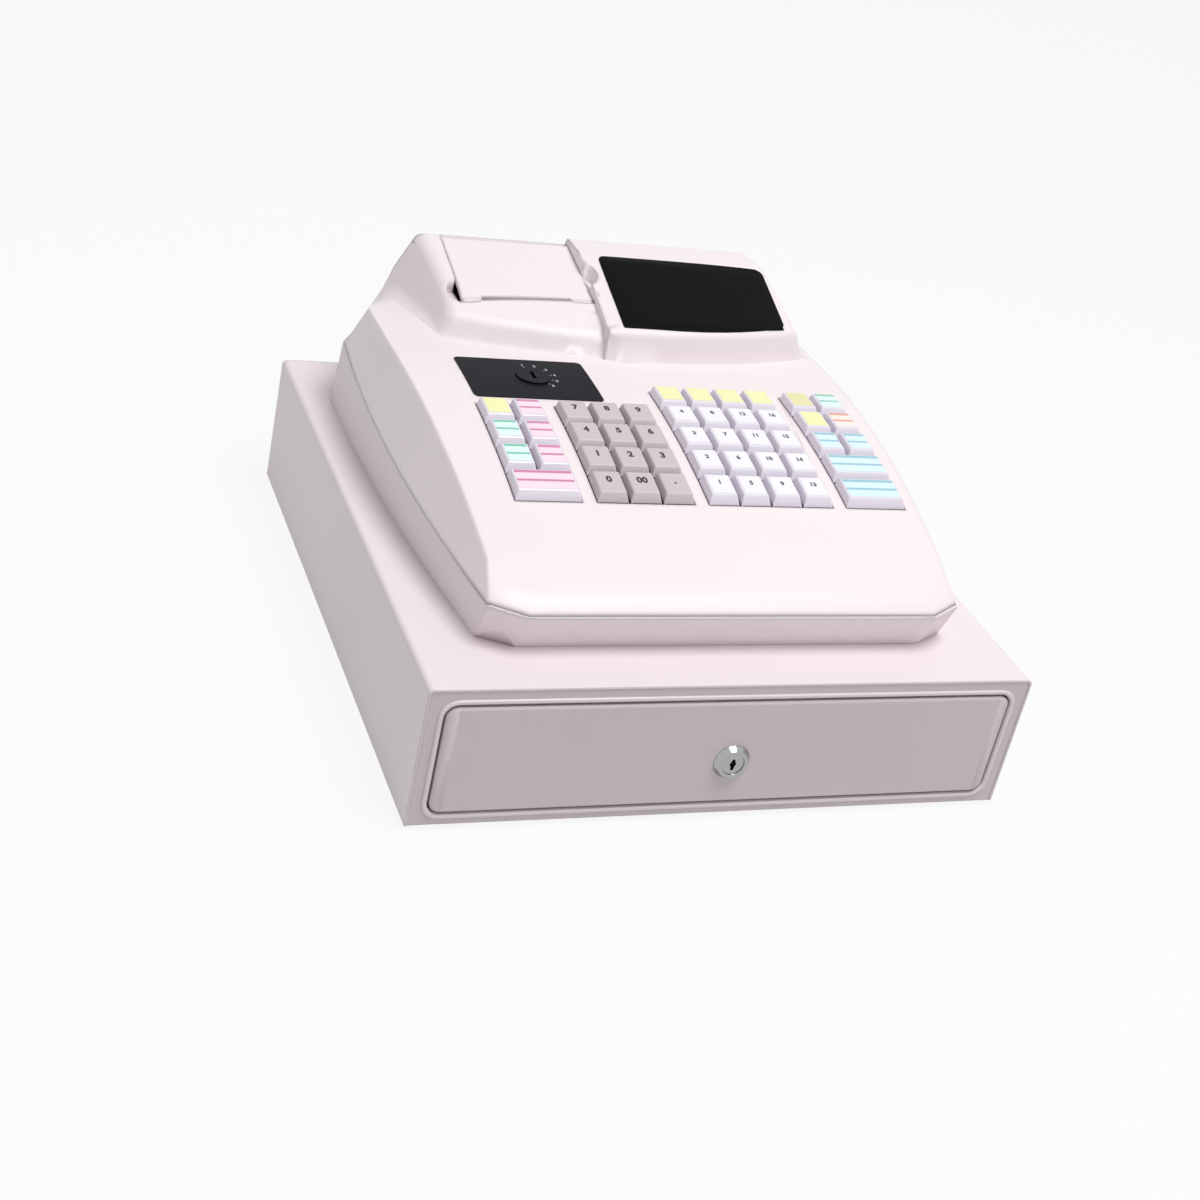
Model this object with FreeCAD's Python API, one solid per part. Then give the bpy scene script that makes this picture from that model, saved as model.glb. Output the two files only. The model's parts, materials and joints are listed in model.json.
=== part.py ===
import FreeCAD
import Part
import math
import os

# Ticket register: a keyboard and printer body that stands on a cash drawer cabinet.
# Lengths are millimetres. The model is built from the cabinet's front lower edge:
# X runs to the viewer's right with 0 in the middle, Y runs back from the front
# face, Z runs up from the cabinet's underside. The last step moves the origin to
# the middle of the footprint, on the table under the rubber feet.

# Cabinet and drawer
CABINET_W = 330.0
CABINET_D = 356.0
CABINET_H = 78.0
SHEET = 1.2
FOLD_R = 3.0
FOOT_H = 3.0
FOOT_R = 9.0
FOOT_INSET = 32.0
FRAME_D = 12.0
FRAME_RECESS = 0.5
PANEL_W = 309.0
PANEL_Z0 = 7.5
PANEL_Z1 = 68.0
PANEL_R = 6.0
PANEL_GAP = 1.1
PANEL_PROUD = 1.0
PANEL_BEVEL = 1.2

# Drawer box, its runners and the rails they slide in
BOX_HALF = 145.0
BOX_Y0 = 9.5
BOX_Y1 = 325.0
BOX_Z0 = 8.0
BOX_Z1 = 60.0
BOX_WALL = 1.0
RUNNER_W = 7.5
RUNNER_Z0 = 27.5
RUNNER_Z1 = 46.5
RAIL_CLEAR = 0.3
RAIL_Y0 = 14.0
RAIL_Y1 = 330.0

# Coin and note tray
TRAY_HALF = 143.0
TRAY_Y0 = 28.0
TRAY_Y1 = 318.0
TRAY_Z0 = 9.0
TRAY_Z1 = 56.0
TRAY_WALL = 2.0
COIN_CUPS = 5
COIN_Y1 = 116.0
NOTE_BAYS = 4
CLIP_PIN_Y = 306.0
CLIP_PIN_Z = 50.0
CLIP_PIN_R = 1.5
CLIP_ARM = 78.0
CLIP_SLOPE = 27.5
CLIP_W = 16.0

# Drawer lock, in the middle of the panel
LOCK_Z = 32.5
LOCK_R = 10.0
LOCK_PLUG_R = 6.0
LOCK_PROUD = 3.0
RUN_FIT = 0.05

# Drawer release at the rear of the cabinet
LATCH_X = 40.0
LATCH_PIN_Y = 342.0
LATCH_PIN_Z = 60.0
LATCH_PIN_R = 2.0
LATCH_LIFT = 8.0

# Body: the lower case is undercut to the front, the upper case leans inwards
PART_FRONT_Z = 100.5
PART_SLOPE = 0.057
BODY_FRONT_Y = 26.0
CORNER_X = 112.7
CORNER_ANGLE = 28.8
WALL = 2.5
SEAM_GAP = 0.5
REBATE_D = 0.9
INLET_X0 = 74.0
INLET_X1 = 102.0
INLET_LIFT = 4.0
INLET_H = 20.0
INLET_FACE_Y = 339.2

# Plan outlines of the body are given at these heights; the rear wall leans forward
PLAN_Z0 = 100.0
PLAN_Z1 = 200.0
BODY_REAR_Y = 341.0
REAR_LEAN = 0.08

# Crowned top of the upper case, seen from the side: a long arc up to the crest,
# a flatter arc behind it, and a tight roll at the front lip
CREST_Y = 225.0
CREST_Z = 141.3
DECK_R = 549.0
BACK_R = 1100.0
NOSE_Y = 40.0
NOSE_R = 30.0
CORNER_SLOPE = 35.0

# Raised head: printer half on the left, display half on the right
HEAD_SPLIT_X = -9.0
HEAD_BOW_X = 15.0
HEAD_BOW_R = 340.0
HEAD_REAR_Y = 335.0
HEAD_DRAFT = 0.44
HEAD_FRONT_Y = 230.0
HEAD_LEFT_X = -95.8
HEAD_LEFT_OPEN = 0.189
HEAD_RIGHT_X = 124.5
HEAD_RIGHT_OPEN = 0.065
HEAD_SIDE_R = 9.0
HEAD_SIDE_WALL = 2.2
REAR_ROLL_R = 4.0
# Levels of the skin: y of the front in the middle, z, and the share of the bow
PRINTER_LEVELS = [(237.0, 128.0, 1.0), (246.0, 153.0, 1.0), (268.0, 162.0, 0.735),
                  (343.0, 177.0, 0.02)]
DISPLAY_LEVELS = [(237.0, 128.0, 1.0), (241.5, 158.5, 1.0), (306.0, 178.3, 0.4)]
PRINTER_CREST_R = 60.0
PRINTER_SHOULDER_R = 12.0
DISPLAY_CREST_R = 16.0
DISPLAY_SHOULDER_R = 5.0

# Keys: column pitch, row pitch along the crown, first row edge, cap sizes
KEY_P = 18.5
KEY_Q = 21.2
KEY_Y0 = 96.0
KEY_GAP = 0.8
CAP_TOP_W = 13.8
CAP_TOP_L = 14.6
CAP_H = 5.6
CAP_SKIRT = 3.6
CAP_BACK_SHIFT = 1.4
CAP_BEVEL = 0.7
STEM = 5.0
STEM_L = 15.0
GUIDE_GAP = 0.3
BOARD_DEPTH = 9.0
BOARD_T = 2.0
LEFT_X = -104.0
NUM_X = -59.5
DEPT_X = 3.5
RIGHT_X = 85.0

# Mode plate and key switch
PLATE_X0 = -102.0
PLATE_X1 = -27.0
PLATE_Y0 = 186.5
PLATE_Y1 = 233.0
PLATE_R = 3.0
PLATE_DEEP = 0.8
PLATE_PROUD = 0.4
KNOB_X = -61.5
KNOB_Y = 212.0
KNOB_R = 9.8
KNOB_SHAFT_R = 5.5
KNOB_GAP = 0.3
KNOB_LIFT = 0.35
KNOB_TOP = 1.2

# Display window and the customer's window on the rear
LENS_X0 = 2.0
LENS_X1 = 109.0
LENS_Y0 = 248.5
LENS_Y1 = 303.0
REAR_LENS_X0 = 28.0
REAR_LENS_X1 = 98.0
REAR_LENS_Z0 = 148.0
REAR_LENS_Z1 = 168.0
REAR_LENS_T = 1.5

# Printer: cover, paper well, roll, platen
COVER_X0 = -89.0
COVER_X1 = -9.0
COVER_Y0 = 272.5
COVER_GAP = 0.4
COVER_T = 2.5
HINGE_Y = 329.5
HINGE_R = 2.5
HINGE_PIN_R = 1.5
HINGE_GAP = 0.9
SLOT_X0 = -77.0
SLOT_X1 = -23.0
SLOT_L = 2.6
THUMB_R = 10.0
THUMB_LEFT_X = -85.5
THUMB_LEFT_Y = 281.0
THUMB_LEFT_Z = 156.0
THUMB_RIGHT_X = -13.0
THUMB_RIGHT_Y = 290.5
THUMB_RIGHT_Z = 166.5
WELL_X0 = -86.0
WELL_X1 = -12.5
WELL_Y0 = 258.0
WELL_Y1 = 330.5
WELL_Z0 = 112.0
ROLL_R = 21.0
ROLL_CORE_R = 6.0
ROLL_W = 57.0
ROLL_X = -49.5
ROLL_Y = 307.0
ROLL_Z = 137.0
PLATEN_R = 6.0
PLATEN_Y = 275.0
PLATEN_Z = 150.0
PLATEN_SHAFT_R = 2.0

X_AXIS = FreeCAD.Vector(1, 0, 0)
Y_AXIS = FreeCAD.Vector(0, 1, 0)
Z_AXIS = FreeCAD.Vector(0, 0, 1)
PARTS = {}


def vec(x, y, z):
    return FreeCAD.Vector(x, y, z)


def box(x0, x1, y0, y1, z0, z1):
    return Part.makeBox(x1 - x0, y1 - y0, z1 - z0, vec(x0, y0, z0))


def rod(radius, start, length, axis):
    return Part.makeCylinder(radius, length, start, axis)


def fused(shapes):
    body = shapes[0]
    for shape in shapes[1:]:
        body = body.fuse(shape)
    return body.removeSplitter()


def mirrored(shape):
    return shape.mirror(vec(0, 0, 0), X_AXIS)


def rounded_plate(x0, x1, z0, z1, radius, y0, y1):
    """Upright plate in the XZ plane with rounded corners."""
    plate = box(x0, x1, y0, y1, z0, z1)
    edges = [e for e in plate.Edges if abs(e.tangentAt(e.FirstParameter).y) > 0.99]
    return plate.makeFillet(radius, edges)


def rounded_pad(x0, x1, y0, y1, radius, z0, z1):
    """Flat pad in the XY plane with rounded corners."""
    pad = box(x0, x1, y0, y1, z0, z1)
    edges = [e for e in pad.Edges if abs(e.tangentAt(e.FirstParameter).z) > 0.99]
    return pad.makeFillet(radius, edges)


def extruded_side(edges, x0, x1):
    """Closed profile in the YZ plane, drawn at X = 0, pushed out along X."""
    face = Part.Face(Part.Wire(edges))
    solid = face.extrude(vec(x1 - x0, 0, 0))
    solid.translate(vec(x0, 0, 0))
    return solid


def side_polygon(points, x0, x1):
    corners = [vec(0, y, z) for y, z in points]
    corners.append(corners[0])
    return extruded_side(Part.makePolygon(corners).Edges, x0, x1)


def edges_where(solid, test):
    """Edges of a solid whose two ends and middle all pass a test."""
    chosen = []
    for edge in solid.Edges:
        first, last = edge.ParameterRange
        spots = [edge.valueAt(first), edge.valueAt(last), edge.valueAt((first + last) / 2)]
        if all(test(spot) for spot in spots):
            chosen.append(edge)
    return chosen


def line(a, b):
    return Part.LineSegment(a, b).toShape()


def arc(a, b, c):
    return Part.Arc(a, b, c).toShape()


def eight_sided(radius, x0, x1, y, z):
    """Eight-sided bar along X; radius is measured to its corners."""
    corners = []
    for step in range(8):
        angle = math.radians(22.5 + 45 * step)
        corners.append((y + radius * math.cos(angle), z + radius * math.sin(angle)))
    return side_polygon(corners, x0, x1)


# The crowned top

def deck_point(y, inset=0.0):
    """Point of the crown above y, lowered along its normal by inset."""
    radius = DECK_R if y <= CREST_Y else BACK_R
    lean = math.asin((CREST_Y - y) / radius)
    reach = radius - inset
    return vec(0, CREST_Y - reach * math.sin(lean), CREST_Z - radius + reach * math.cos(lean))


def nose_points(inset, end_y):
    """Start, middle and end of the front roll, from the crown down to end_y."""
    top = deck_point(NOSE_Y)
    crown_centre = vec(0, CREST_Y, CREST_Z - DECK_R)
    outward = (top - crown_centre).normalize()
    centre = top - outward * NOSE_R
    radius = NOSE_R - inset
    start_angle = math.atan2(outward.z, outward.y)
    end_angle = math.acos(max(-1.0, (end_y - centre.y) / radius))
    middle = (start_angle + end_angle) / 2
    spots = []
    for angle in (start_angle, middle, end_angle):
        spots.append(centre + vec(0, radius * math.cos(angle), radius * math.sin(angle)))
    return spots


def under_crown(inset=0.0):
    """Everything under the crowned top and its front roll."""
    front = BODY_FRONT_Y + inset
    roll_top, roll_mid, roll_end = nose_points(inset, front)
    crest = deck_point(CREST_Y, inset)
    rise = deck_point((NOSE_Y + CREST_Y) / 2, inset)
    fall = deck_point(290.0, inset)
    rear = deck_point(355.0, inset)
    floor_rear = vec(0, rear.y, 90)
    floor_front = vec(0, front, 90)
    edges = [
        line(floor_front, roll_end),
        arc(roll_end, roll_mid, roll_top),
        arc(roll_top, rise, crest),
        arc(crest, fall, rear),
        line(rear, floor_rear),
        line(floor_rear, floor_front),
    ]
    return extruded_side(edges, -170, 170)


def under_corner(inset=0.0):
    """Everything under the rolled facet that cuts the front right corner."""
    front = BODY_FRONT_Y + inset
    roll_end = nose_points(inset, front)[2]
    outward = (deck_point(NOSE_Y) - vec(0, CREST_Y, CREST_Z - DECK_R)).normalize()
    centre = deck_point(NOSE_Y) - outward * NOSE_R
    radius = NOSE_R - inset
    lean = math.radians(90 + CORNER_SLOPE)
    leave = centre + vec(0, radius * math.cos(lean), radius * math.sin(lean))
    half = (lean + math.acos((front - centre.y) / radius)) / 2
    middle = centre + vec(0, radius * math.cos(half), radius * math.sin(half))
    run = 700.0
    far = leave + vec(0, run, run * math.tan(math.radians(CORNER_SLOPE)))
    edges = [
        line(vec(0, front, 90), roll_end),
        arc(roll_end, middle, leave),
        line(leave, far),
        line(far, vec(0, far.y, 90)),
        line(vec(0, far.y, 90), vec(0, front, 90)),
    ]
    slab = extruded_side(edges, -500, 400)
    slab.rotate(vec(CORNER_X, BODY_FRONT_Y, 0), Z_AXIS, CORNER_ANGLE)
    return slab


def above_parting(lift=0.0):
    """Everything above the slanted parting plane between the two cases."""
    z0 = PART_FRONT_Z + lift
    z1 = z0 + PART_SLOPE * (400.0 - BODY_FRONT_Y)
    return side_polygon([(BODY_FRONT_Y - 20, z0 - 20 * PART_SLOPE), (400, z1),
                         (400, 260), (BODY_FRONT_Y - 20, 260)], -180, 180)


# Plan outlines of the body

def plan_outline(z, points, bowed):
    """Closed symmetric outline at height z. points run along the right side from
    the front to the rear; bowed names the arc: its first, middle and last point."""
    first, middle, last = bowed
    right = [vec(x, y, z) for x, y in points]
    edges = [line(vec(-right[0].x, right[0].y, z), right[0])]
    index = 0
    while index < len(right) - 1:
        if index == first:
            edges.append(arc(right[first], right[middle], right[last]))
            index = last
        else:
            edges.append(line(right[index], right[index + 1]))
            index += 1
    rear = right[-1]
    edges.append(line(rear, vec(-rear.x, rear.y, z)))
    left = [vec(-p.x, p.y, z) for p in right]
    index = len(left) - 1
    while index > 0:
        if index == last:
            edges.append(arc(left[last], left[middle], left[first]))
            index = first
        else:
            edges.append(line(left[index], left[index - 1]))
            index -= 1
    return Part.Wire(edges)


def upper_walls(inset=0.0):
    """Bowed side walls of the upper case, leaning inwards as they rise."""
    low = [(127.0 - inset, 20.0), (147.5 - inset, 135.0), (152.5 - inset, 300.0 - inset),
           (126.0 - inset, 341.0 - inset)]
    high = [(74.0 - inset, 20.0), (99.5 - inset, 135.0), (104.7 - inset, 300.0 - inset),
            (98.0 - inset, 333.0 - inset)]
    wires = [plan_outline(PLAN_Z0, low, (0, 1, 2)), plan_outline(PLAN_Z1, high, (0, 1, 2))]
    return Part.makeLoft(wires, True, True)


def upper_body(inset=0.0):
    corner = under_corner(inset)
    body = upper_walls(inset).common(under_crown(inset))
    body = body.common(corner).common(mirrored(corner))
    return body


def lower_walls(inset=0.0):
    """Walls of the lower case: a shallow pan whose front leans forward as it rises."""
    bottom = [(112.7 - 0.3 * inset, 36.5 + inset), (131.0 - inset, 46.5 + 0.4 * inset),
              (142.5 - inset, 150.0), (147.0 - inset, 303.0 - inset),
              (124.0 - inset, 340.0 - inset)]
    top = [(112.7 - 0.3 * inset, 16.9 + inset), (130.2 - inset, 27.0 + 0.4 * inset),
           (145.8 - inset, 150.0), (144.6 - inset, 303.0 - inset),
           (121.2 - inset, 339.6 - inset)]
    wires = [plan_outline(CABINET_H, bottom, (1, 2, 3)),
             plan_outline(CABINET_H + 42.0, top, (1, 2, 3))]
    return Part.makeLoft(wires, True, True)


# The raised head

def head_side_x(side, y, z, inset):
    """X of the head's left (-1) or right (+1) side: drafted, and opening to the rear.
    The side walls are thicker than the top."""
    lean = HEAD_DRAFT * (z - CREST_Z) + HEAD_SIDE_WALL * inset
    if side < 0:
        return HEAD_LEFT_X - HEAD_LEFT_OPEN * (y - HEAD_FRONT_Y) + lean
    return HEAD_RIGHT_X + HEAD_RIGHT_OPEN * (y - HEAD_FRONT_Y) - lean


def head_front(level, x, inset):
    """Point of the bowed front at one level, given as (y in the middle, z, share of
    the bow)."""
    y, z, share = level
    bow = share * (x - HEAD_BOW_X) ** 2 / (2 * HEAD_BOW_R)
    return vec(x, y + bow + inset, z - inset)


def head_corner(level, side, inset):
    """Where the bowed front of a level meets the head's side."""
    y = level[0]
    for _ in range(6):
        x = head_side_x(side, y, level[1] - inset, inset)
        y = head_front(level, x, inset).y
    return head_front(level, x, inset)


def head_outline(level, side, inset):
    """Plan outline of one half at one level, from the split to the given side."""
    split = HEAD_SPLIT_X + (inset if side > 0 else 0.0)
    inner = head_front(level, split, inset)
    corner = head_corner(level, side, inset)
    middle = head_front(level, (split + corner.x) / 2, inset)
    rear_y = HEAD_REAR_Y + 40.0
    rear_corner = vec(head_side_x(side, rear_y, inner.z, inset), rear_y, inner.z)
    rear_inner = vec(split, rear_y, inner.z)
    return Part.Wire([
        arc(inner, middle, corner),
        line(corner, rear_corner),
        line(rear_corner, rear_inner),
        line(rear_inner, inner),
    ])


def round_level(solid, level, radius):
    """Round the long edge where the skin turns at one level."""
    rim = edges_where(solid, lambda p: abs(p.z - level[1]) < 0.01 and p.y < level[0] + 25)
    rim = [e for e in rim if abs(e.tangentAt(e.FirstParameter).y) < 0.6]
    return solid.makeFillet(radius, rim)


def round_side(solid, side):
    """Roll the edges where the outer side meets the front and the top."""
    rim = edges_where(solid, lambda p: p.z > 130
                      and abs(p.x - head_side_x(side, p.y, p.z, 0.0)) < 0.05)
    rim = [e for e in rim if e.BoundBox.YMin < HEAD_REAR_Y]
    return solid.makeFillet(HEAD_SIDE_R, rim)


def head_half(levels, side, inset, crest_r, shoulder_r):
    """Half of the head: ruled skins between its outlines, with a rounded crest,
    outer side and shoulder. Inner skins have plain edges."""
    wires = [head_outline(level, side, inset) for level in levels]
    solid = Part.makeLoft(wires, True, True)
    if inset > 0:
        return solid
    solid = round_level(solid, levels[2], crest_r)
    solid = round_side(solid, side)
    return round_level(solid, levels[1], shoulder_r)


def under_rear_roll(top_y, top_z, slope, inset):
    """Everything in front of the rear wall, with a rounded corner up to the head's
    top line, which passes through the given point."""
    radius = REAR_ROLL_R - 0.8 * inset
    top_z = top_z - inset
    wall_y = BODY_REAR_Y - inset
    top_norm = math.hypot(1.0, slope)
    wall_norm = math.hypot(1.0, REAR_LEAN)
    z = top_z
    for _ in range(8):
        y = wall_y - REAR_LEAN * (z - PLAN_Z0) - radius * wall_norm
        z = top_z + slope * (y - top_y) - radius * top_norm
    centre = vec(0, y, z)
    top_touch = centre + vec(0, -slope, 1) * (radius / top_norm)
    wall_touch = centre + vec(0, 1, REAR_LEAN) * (radius / wall_norm)
    middle = centre + ((top_touch - centre) + (wall_touch - centre)).normalize() * radius
    wall_foot = vec(0, wall_y, PLAN_Z0)
    edges = [
        line(vec(0, 200, PLAN_Z0), vec(0, 200, 210)),
        line(vec(0, 200, 210), vec(0, top_touch.y, 210)),
        line(vec(0, top_touch.y, 210), top_touch),
        arc(top_touch, middle, wall_touch),
        line(wall_touch, wall_foot),
        line(wall_foot, vec(0, 200, PLAN_Z0)),
    ]
    return extruded_side(edges, -170, 170)


def printer_half(inset=0.0):
    half = head_half(PRINTER_LEVELS, -1, inset, PRINTER_CREST_R, PRINTER_SHOULDER_R)
    low, high = PRINTER_LEVELS[2], PRINTER_LEVELS[3]
    slope = (high[1] - low[1]) / (high[0] - low[0])
    return half.common(under_rear_roll(high[0], high[1], slope, inset))


def display_half(inset=0.0):
    """Its left end is the upright step beside the printer half."""
    half = head_half(DISPLAY_LEVELS, 1, inset, DISPLAY_CREST_R, DISPLAY_SHOULDER_R)
    return half.common(under_rear_roll(HEAD_REAR_Y, DISPLAY_LEVELS[2][1], 0.0, inset))


def head(inset=0.0):
    """Both halves, cut off by the body's walls."""
    halves = printer_half(inset).fuse(display_half(inset)).removeSplitter()
    return halves.common(upper_walls(inset))


# Cabinet

def make_cabinet_shell():
    """Folded sheet: top, two sides and rear, open at the front and underneath."""
    half = CABINET_W / 2
    outer = box(-half, half, 0, CABINET_D, 0, CABINET_H)
    folds = [e for e in outer.Edges
             if abs(e.tangentAt(e.FirstParameter).y) > 0.99 and e.CenterOfMass.z > 1]
    outer = outer.makeFillet(FOLD_R, folds)
    inner = box(-half + SHEET, half - SHEET, -1, CABINET_D - SHEET, -1, CABINET_H - SHEET)
    folds = [e for e in inner.Edges
             if abs(e.tangentAt(e.FirstParameter).y) > 0.99 and e.CenterOfMass.z > 1]
    inner = inner.makeFillet(FOLD_R - SHEET, folds)
    return outer.cut(inner)


def make_cabinet_base():
    """Bottom pan with upturned edges that the shell is screwed to."""
    half = CABINET_W / 2 - SHEET
    pan = box(-half, half, FRAME_D + 1, CABINET_D - SHEET, 0, SHEET)
    lip_h = 14.0
    left = box(-half, -half + SHEET, FRAME_D + 1, CABINET_D - SHEET, 0, lip_h)
    rear = box(-half, half, CABINET_D - 2 * SHEET, CABINET_D - SHEET, 0, lip_h)
    return fused([pan, left, mirrored(left), rear])


def make_front_frame():
    """Moulded frame round the drawer opening, set into the shell's front edge."""
    half = CABINET_W / 2 - SHEET
    frame = box(-half, half, FRAME_RECESS, FRAME_D, 0, CABINET_H - SHEET)
    uprights = [e for e in frame.Edges
                if abs(e.tangentAt(e.FirstParameter).y) > 0.99 and e.CenterOfMass.z > 1]
    frame = frame.makeFillet(FOLD_R - SHEET, uprights)
    gap = PANEL_GAP
    opening = rounded_plate(-PANEL_W / 2 - gap, PANEL_W / 2 + gap, PANEL_Z0 - gap,
                            PANEL_Z1 + gap, PANEL_R + gap, -1, FRAME_D + 1)
    return frame.cut(opening)


def make_rubber_feet():
    feet = []
    for side in (-1, 1):
        for y in (FOOT_INSET, CABINET_D - FOOT_INSET):
            x = side * (CABINET_W / 2 - FOOT_INSET)
            feet.append(Part.makeCone(FOOT_R - 1.5, FOOT_R, FOOT_H, vec(x, y, -FOOT_H)))
    return Part.makeCompound(feet)


def make_drawer_rails():
    """Left and right channels; each is carried on three blocks off the shell."""
    web_x = BOX_HALF + RUNNER_W + 0.8
    wall_x = CABINET_W / 2 - SHEET
    low = RUNNER_Z0 - RAIL_CLEAR
    high = RUNNER_Z1 + RAIL_CLEAR
    pieces = [
        box(web_x, web_x + SHEET, RAIL_Y0, RAIL_Y1, low - SHEET, high + SHEET),
        box(BOX_HALF + 1.5, web_x, RAIL_Y0, RAIL_Y1, low - SHEET, low),
        box(BOX_HALF + 1.5, web_x, RAIL_Y0, RAIL_Y1, high, high + SHEET),
    ]
    for y in (RAIL_Y0 + 8, (RAIL_Y0 + RAIL_Y1) / 2, RAIL_Y1 - 28):
        pieces.append(box(web_x + SHEET, wall_x, y, y + 20, low + 3, high - 3))
    rail = fused(pieces)
    return Part.makeCompound([mirrored(rail), rail])


# Drawer

def make_drawer_tray():
    """Steel drawer box with a runner along each side and a catch at the rear."""
    outer = box(-BOX_HALF, BOX_HALF, BOX_Y0, BOX_Y1, BOX_Z0, BOX_Z1)
    inner = box(-BOX_HALF + BOX_WALL, BOX_HALF - BOX_WALL, BOX_Y0 + BOX_WALL,
                BOX_Y1 - BOX_WALL, BOX_Z0 + BOX_WALL, BOX_Z1 + 1)
    pan = outer.cut(inner)
    runner = box(BOX_HALF, BOX_HALF + RUNNER_W, FRAME_D + 3, BOX_Y1, RUNNER_Z0, RUNNER_Z1)
    groove = box(BOX_HALF + 1.2, BOX_HALF + RUNNER_W + 1, FRAME_D, BOX_Y1 + 1,
                 RUNNER_Z0 + 3, RUNNER_Z1 - 3)
    runner = runner.cut(groove)
    pan = fused([pan, runner, mirrored(runner)])
    lock_hole = rod(LOCK_PLUG_R + 2.4, vec(0, BOX_Y0 - 1, LOCK_Z), 4, Y_AXIS)
    return pan.cut(lock_hole)


def make_drawer_front():
    """Panel with a bevelled rim; its back is screwed to the drawer box."""
    panel = rounded_plate(-PANEL_W / 2, PANEL_W / 2, PANEL_Z0, PANEL_Z1, PANEL_R,
                          -PANEL_PROUD, BOX_Y0)
    rim = [e for e in panel.Edges if abs(e.BoundBox.YMax + PANEL_PROUD) < 0.01
           and e.BoundBox.YLength < 0.01]
    panel = panel.makeChamfer(PANEL_BEVEL, rim)
    return panel.cut(rod(LOCK_PLUG_R + 1.6, vec(0, -5, LOCK_Z), 30, Y_AXIS))


def make_lock_bezel():
    """Chromed ring on the panel with a sleeve that the plug turns in."""
    front = -PANEL_PROUD - LOCK_PROUD
    bore = LOCK_PLUG_R + RUN_FIT
    sleeve = LOCK_PLUG_R + 1.6
    profile = Part.makePolygon([
        vec(bore, front, 0),
        vec(LOCK_R - 2.0, front, 0),
        vec(LOCK_R, -PANEL_PROUD, 0),
        vec(sleeve, -PANEL_PROUD, 0),
        vec(sleeve, BOX_Y0 + 5, 0),
        vec(bore, BOX_Y0 + 5, 0),
        vec(bore, front, 0),
    ])
    ring = Part.Face(profile).revolve(vec(0, 0, 0), Y_AXIS, 360)
    ring.translate(vec(0, 0, LOCK_Z))
    return ring


def make_lock_cylinder():
    """Plug with a key slot in front and a cam behind the panel."""
    front = -PANEL_PROUD - LOCK_PROUD + 0.6
    plug = rod(LOCK_PLUG_R, vec(0, front, LOCK_Z), BOX_Y0 + 8 - front, Y_AXIS)
    slot = box(-0.8, 0.8, front - 1, front + 7, LOCK_Z - 3.6, LOCK_Z + 2.8)
    bow = rod(1.7, vec(0, front - 1, LOCK_Z), 8, Y_AXIS)
    cam = box(-3.5, 3.5, BOX_Y0 + 6, BOX_Y0 + 8, LOCK_Z, LOCK_Z + 19)
    return fused([plug.cut(slot).cut(bow), cam])


def make_cash_tray():
    """Insert with scooped coin cups in front and note bays behind them."""
    body = box(-TRAY_HALF, TRAY_HALF, TRAY_Y0, TRAY_Y1, TRAY_Z0, TRAY_Z1)
    inner_w = 2 * TRAY_HALF - TRAY_WALL
    cup_w = inner_w / COIN_CUPS - TRAY_WALL
    scoop_r = (COIN_Y1 - TRAY_Y0 - TRAY_WALL) / 2
    for index in range(COIN_CUPS):
        x0 = -TRAY_HALF + TRAY_WALL + index * (cup_w + TRAY_WALL)
        centre_y = TRAY_Y0 + TRAY_WALL + scoop_r
        scoop = rod(scoop_r, vec(x0, centre_y, TRAY_Z1 + 3), cup_w, X_AXIS)
        cutter = scoop.common(box(x0, x0 + cup_w, TRAY_Y0, COIN_Y1, TRAY_Z1 - 36, TRAY_Z1 + 9))
        body = body.cut(cutter)
    bay_w = inner_w / NOTE_BAYS - TRAY_WALL
    for index in range(NOTE_BAYS):
        x0 = -TRAY_HALF + TRAY_WALL + index * (bay_w + TRAY_WALL)
        body = body.cut(box(x0, x0 + bay_w, COIN_Y1 + 6, TRAY_Y1 - TRAY_WALL,
                            TRAY_Z0 + 1.6, TRAY_Z1 + 1))
    lugs = []
    for centre in clip_centres():
        for side in (-1, 1):
            x0 = centre + side * (CLIP_W / 2 + 0.4)
            x1 = x0 + side * 3.0
            lugs.append(box(min(x0, x1), max(x0, x1), CLIP_PIN_Y - 4, TRAY_Y1 - TRAY_WALL,
                            TRAY_Z0, CLIP_PIN_Z + 4))
    body = fused([body] + lugs)
    notch = CLIP_PIN_R + RUN_FIT
    for centre in clip_centres():
        body = body.cut(box(centre - CLIP_W / 2 - 3.2, centre + CLIP_W / 2 + 3.2,
                            CLIP_PIN_Y - notch, CLIP_PIN_Y + notch,
                            CLIP_PIN_Z - notch, CLIP_PIN_Z + 5))
    return body


def clip_centres():
    bay = (2 * TRAY_HALF - TRAY_WALL) / NOTE_BAYS
    return [-TRAY_HALF + TRAY_WALL / 2 + bay * (index + 0.5) for index in range(NOTE_BAYS)]


def make_bill_clips():
    """Sprung fingers that hold the notes down, one to each bay."""
    clips = []
    back = CLIP_PIN_Y
    front = CLIP_PIN_Y - CLIP_ARM
    z = CLIP_PIN_Z
    side = [(back + 3, z - 1.5), (back + 3, z + 1.5), (back + 1.5, z + 3.2), (front, z + 3.2),
            (front - 7, z + 5), (front - 7.6, z + 3.2), (front - 4, z + 1.2),
            (front - 1.5, z - 0.6), (front + 1.5, z - 0.6), (front + 4, z + 1.2),
            (back - 4, z + 1.2), (back - 3, z - 1.5), (back - 1.5, z - 3), (back + 1.5, z - 3)]
    for centre in clip_centres():
        pin = eight_sided(CLIP_PIN_R, centre - CLIP_W / 2 - 3, centre + CLIP_W / 2 + 3, back, z)
        finger = fused([side_polygon(side, centre - CLIP_W / 2, centre + CLIP_W / 2), pin])
        finger.rotate(vec(0, back, z), X_AXIS, CLIP_SLOPE)
        clips.append(finger)
    return Part.makeCompound(clips)


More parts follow.
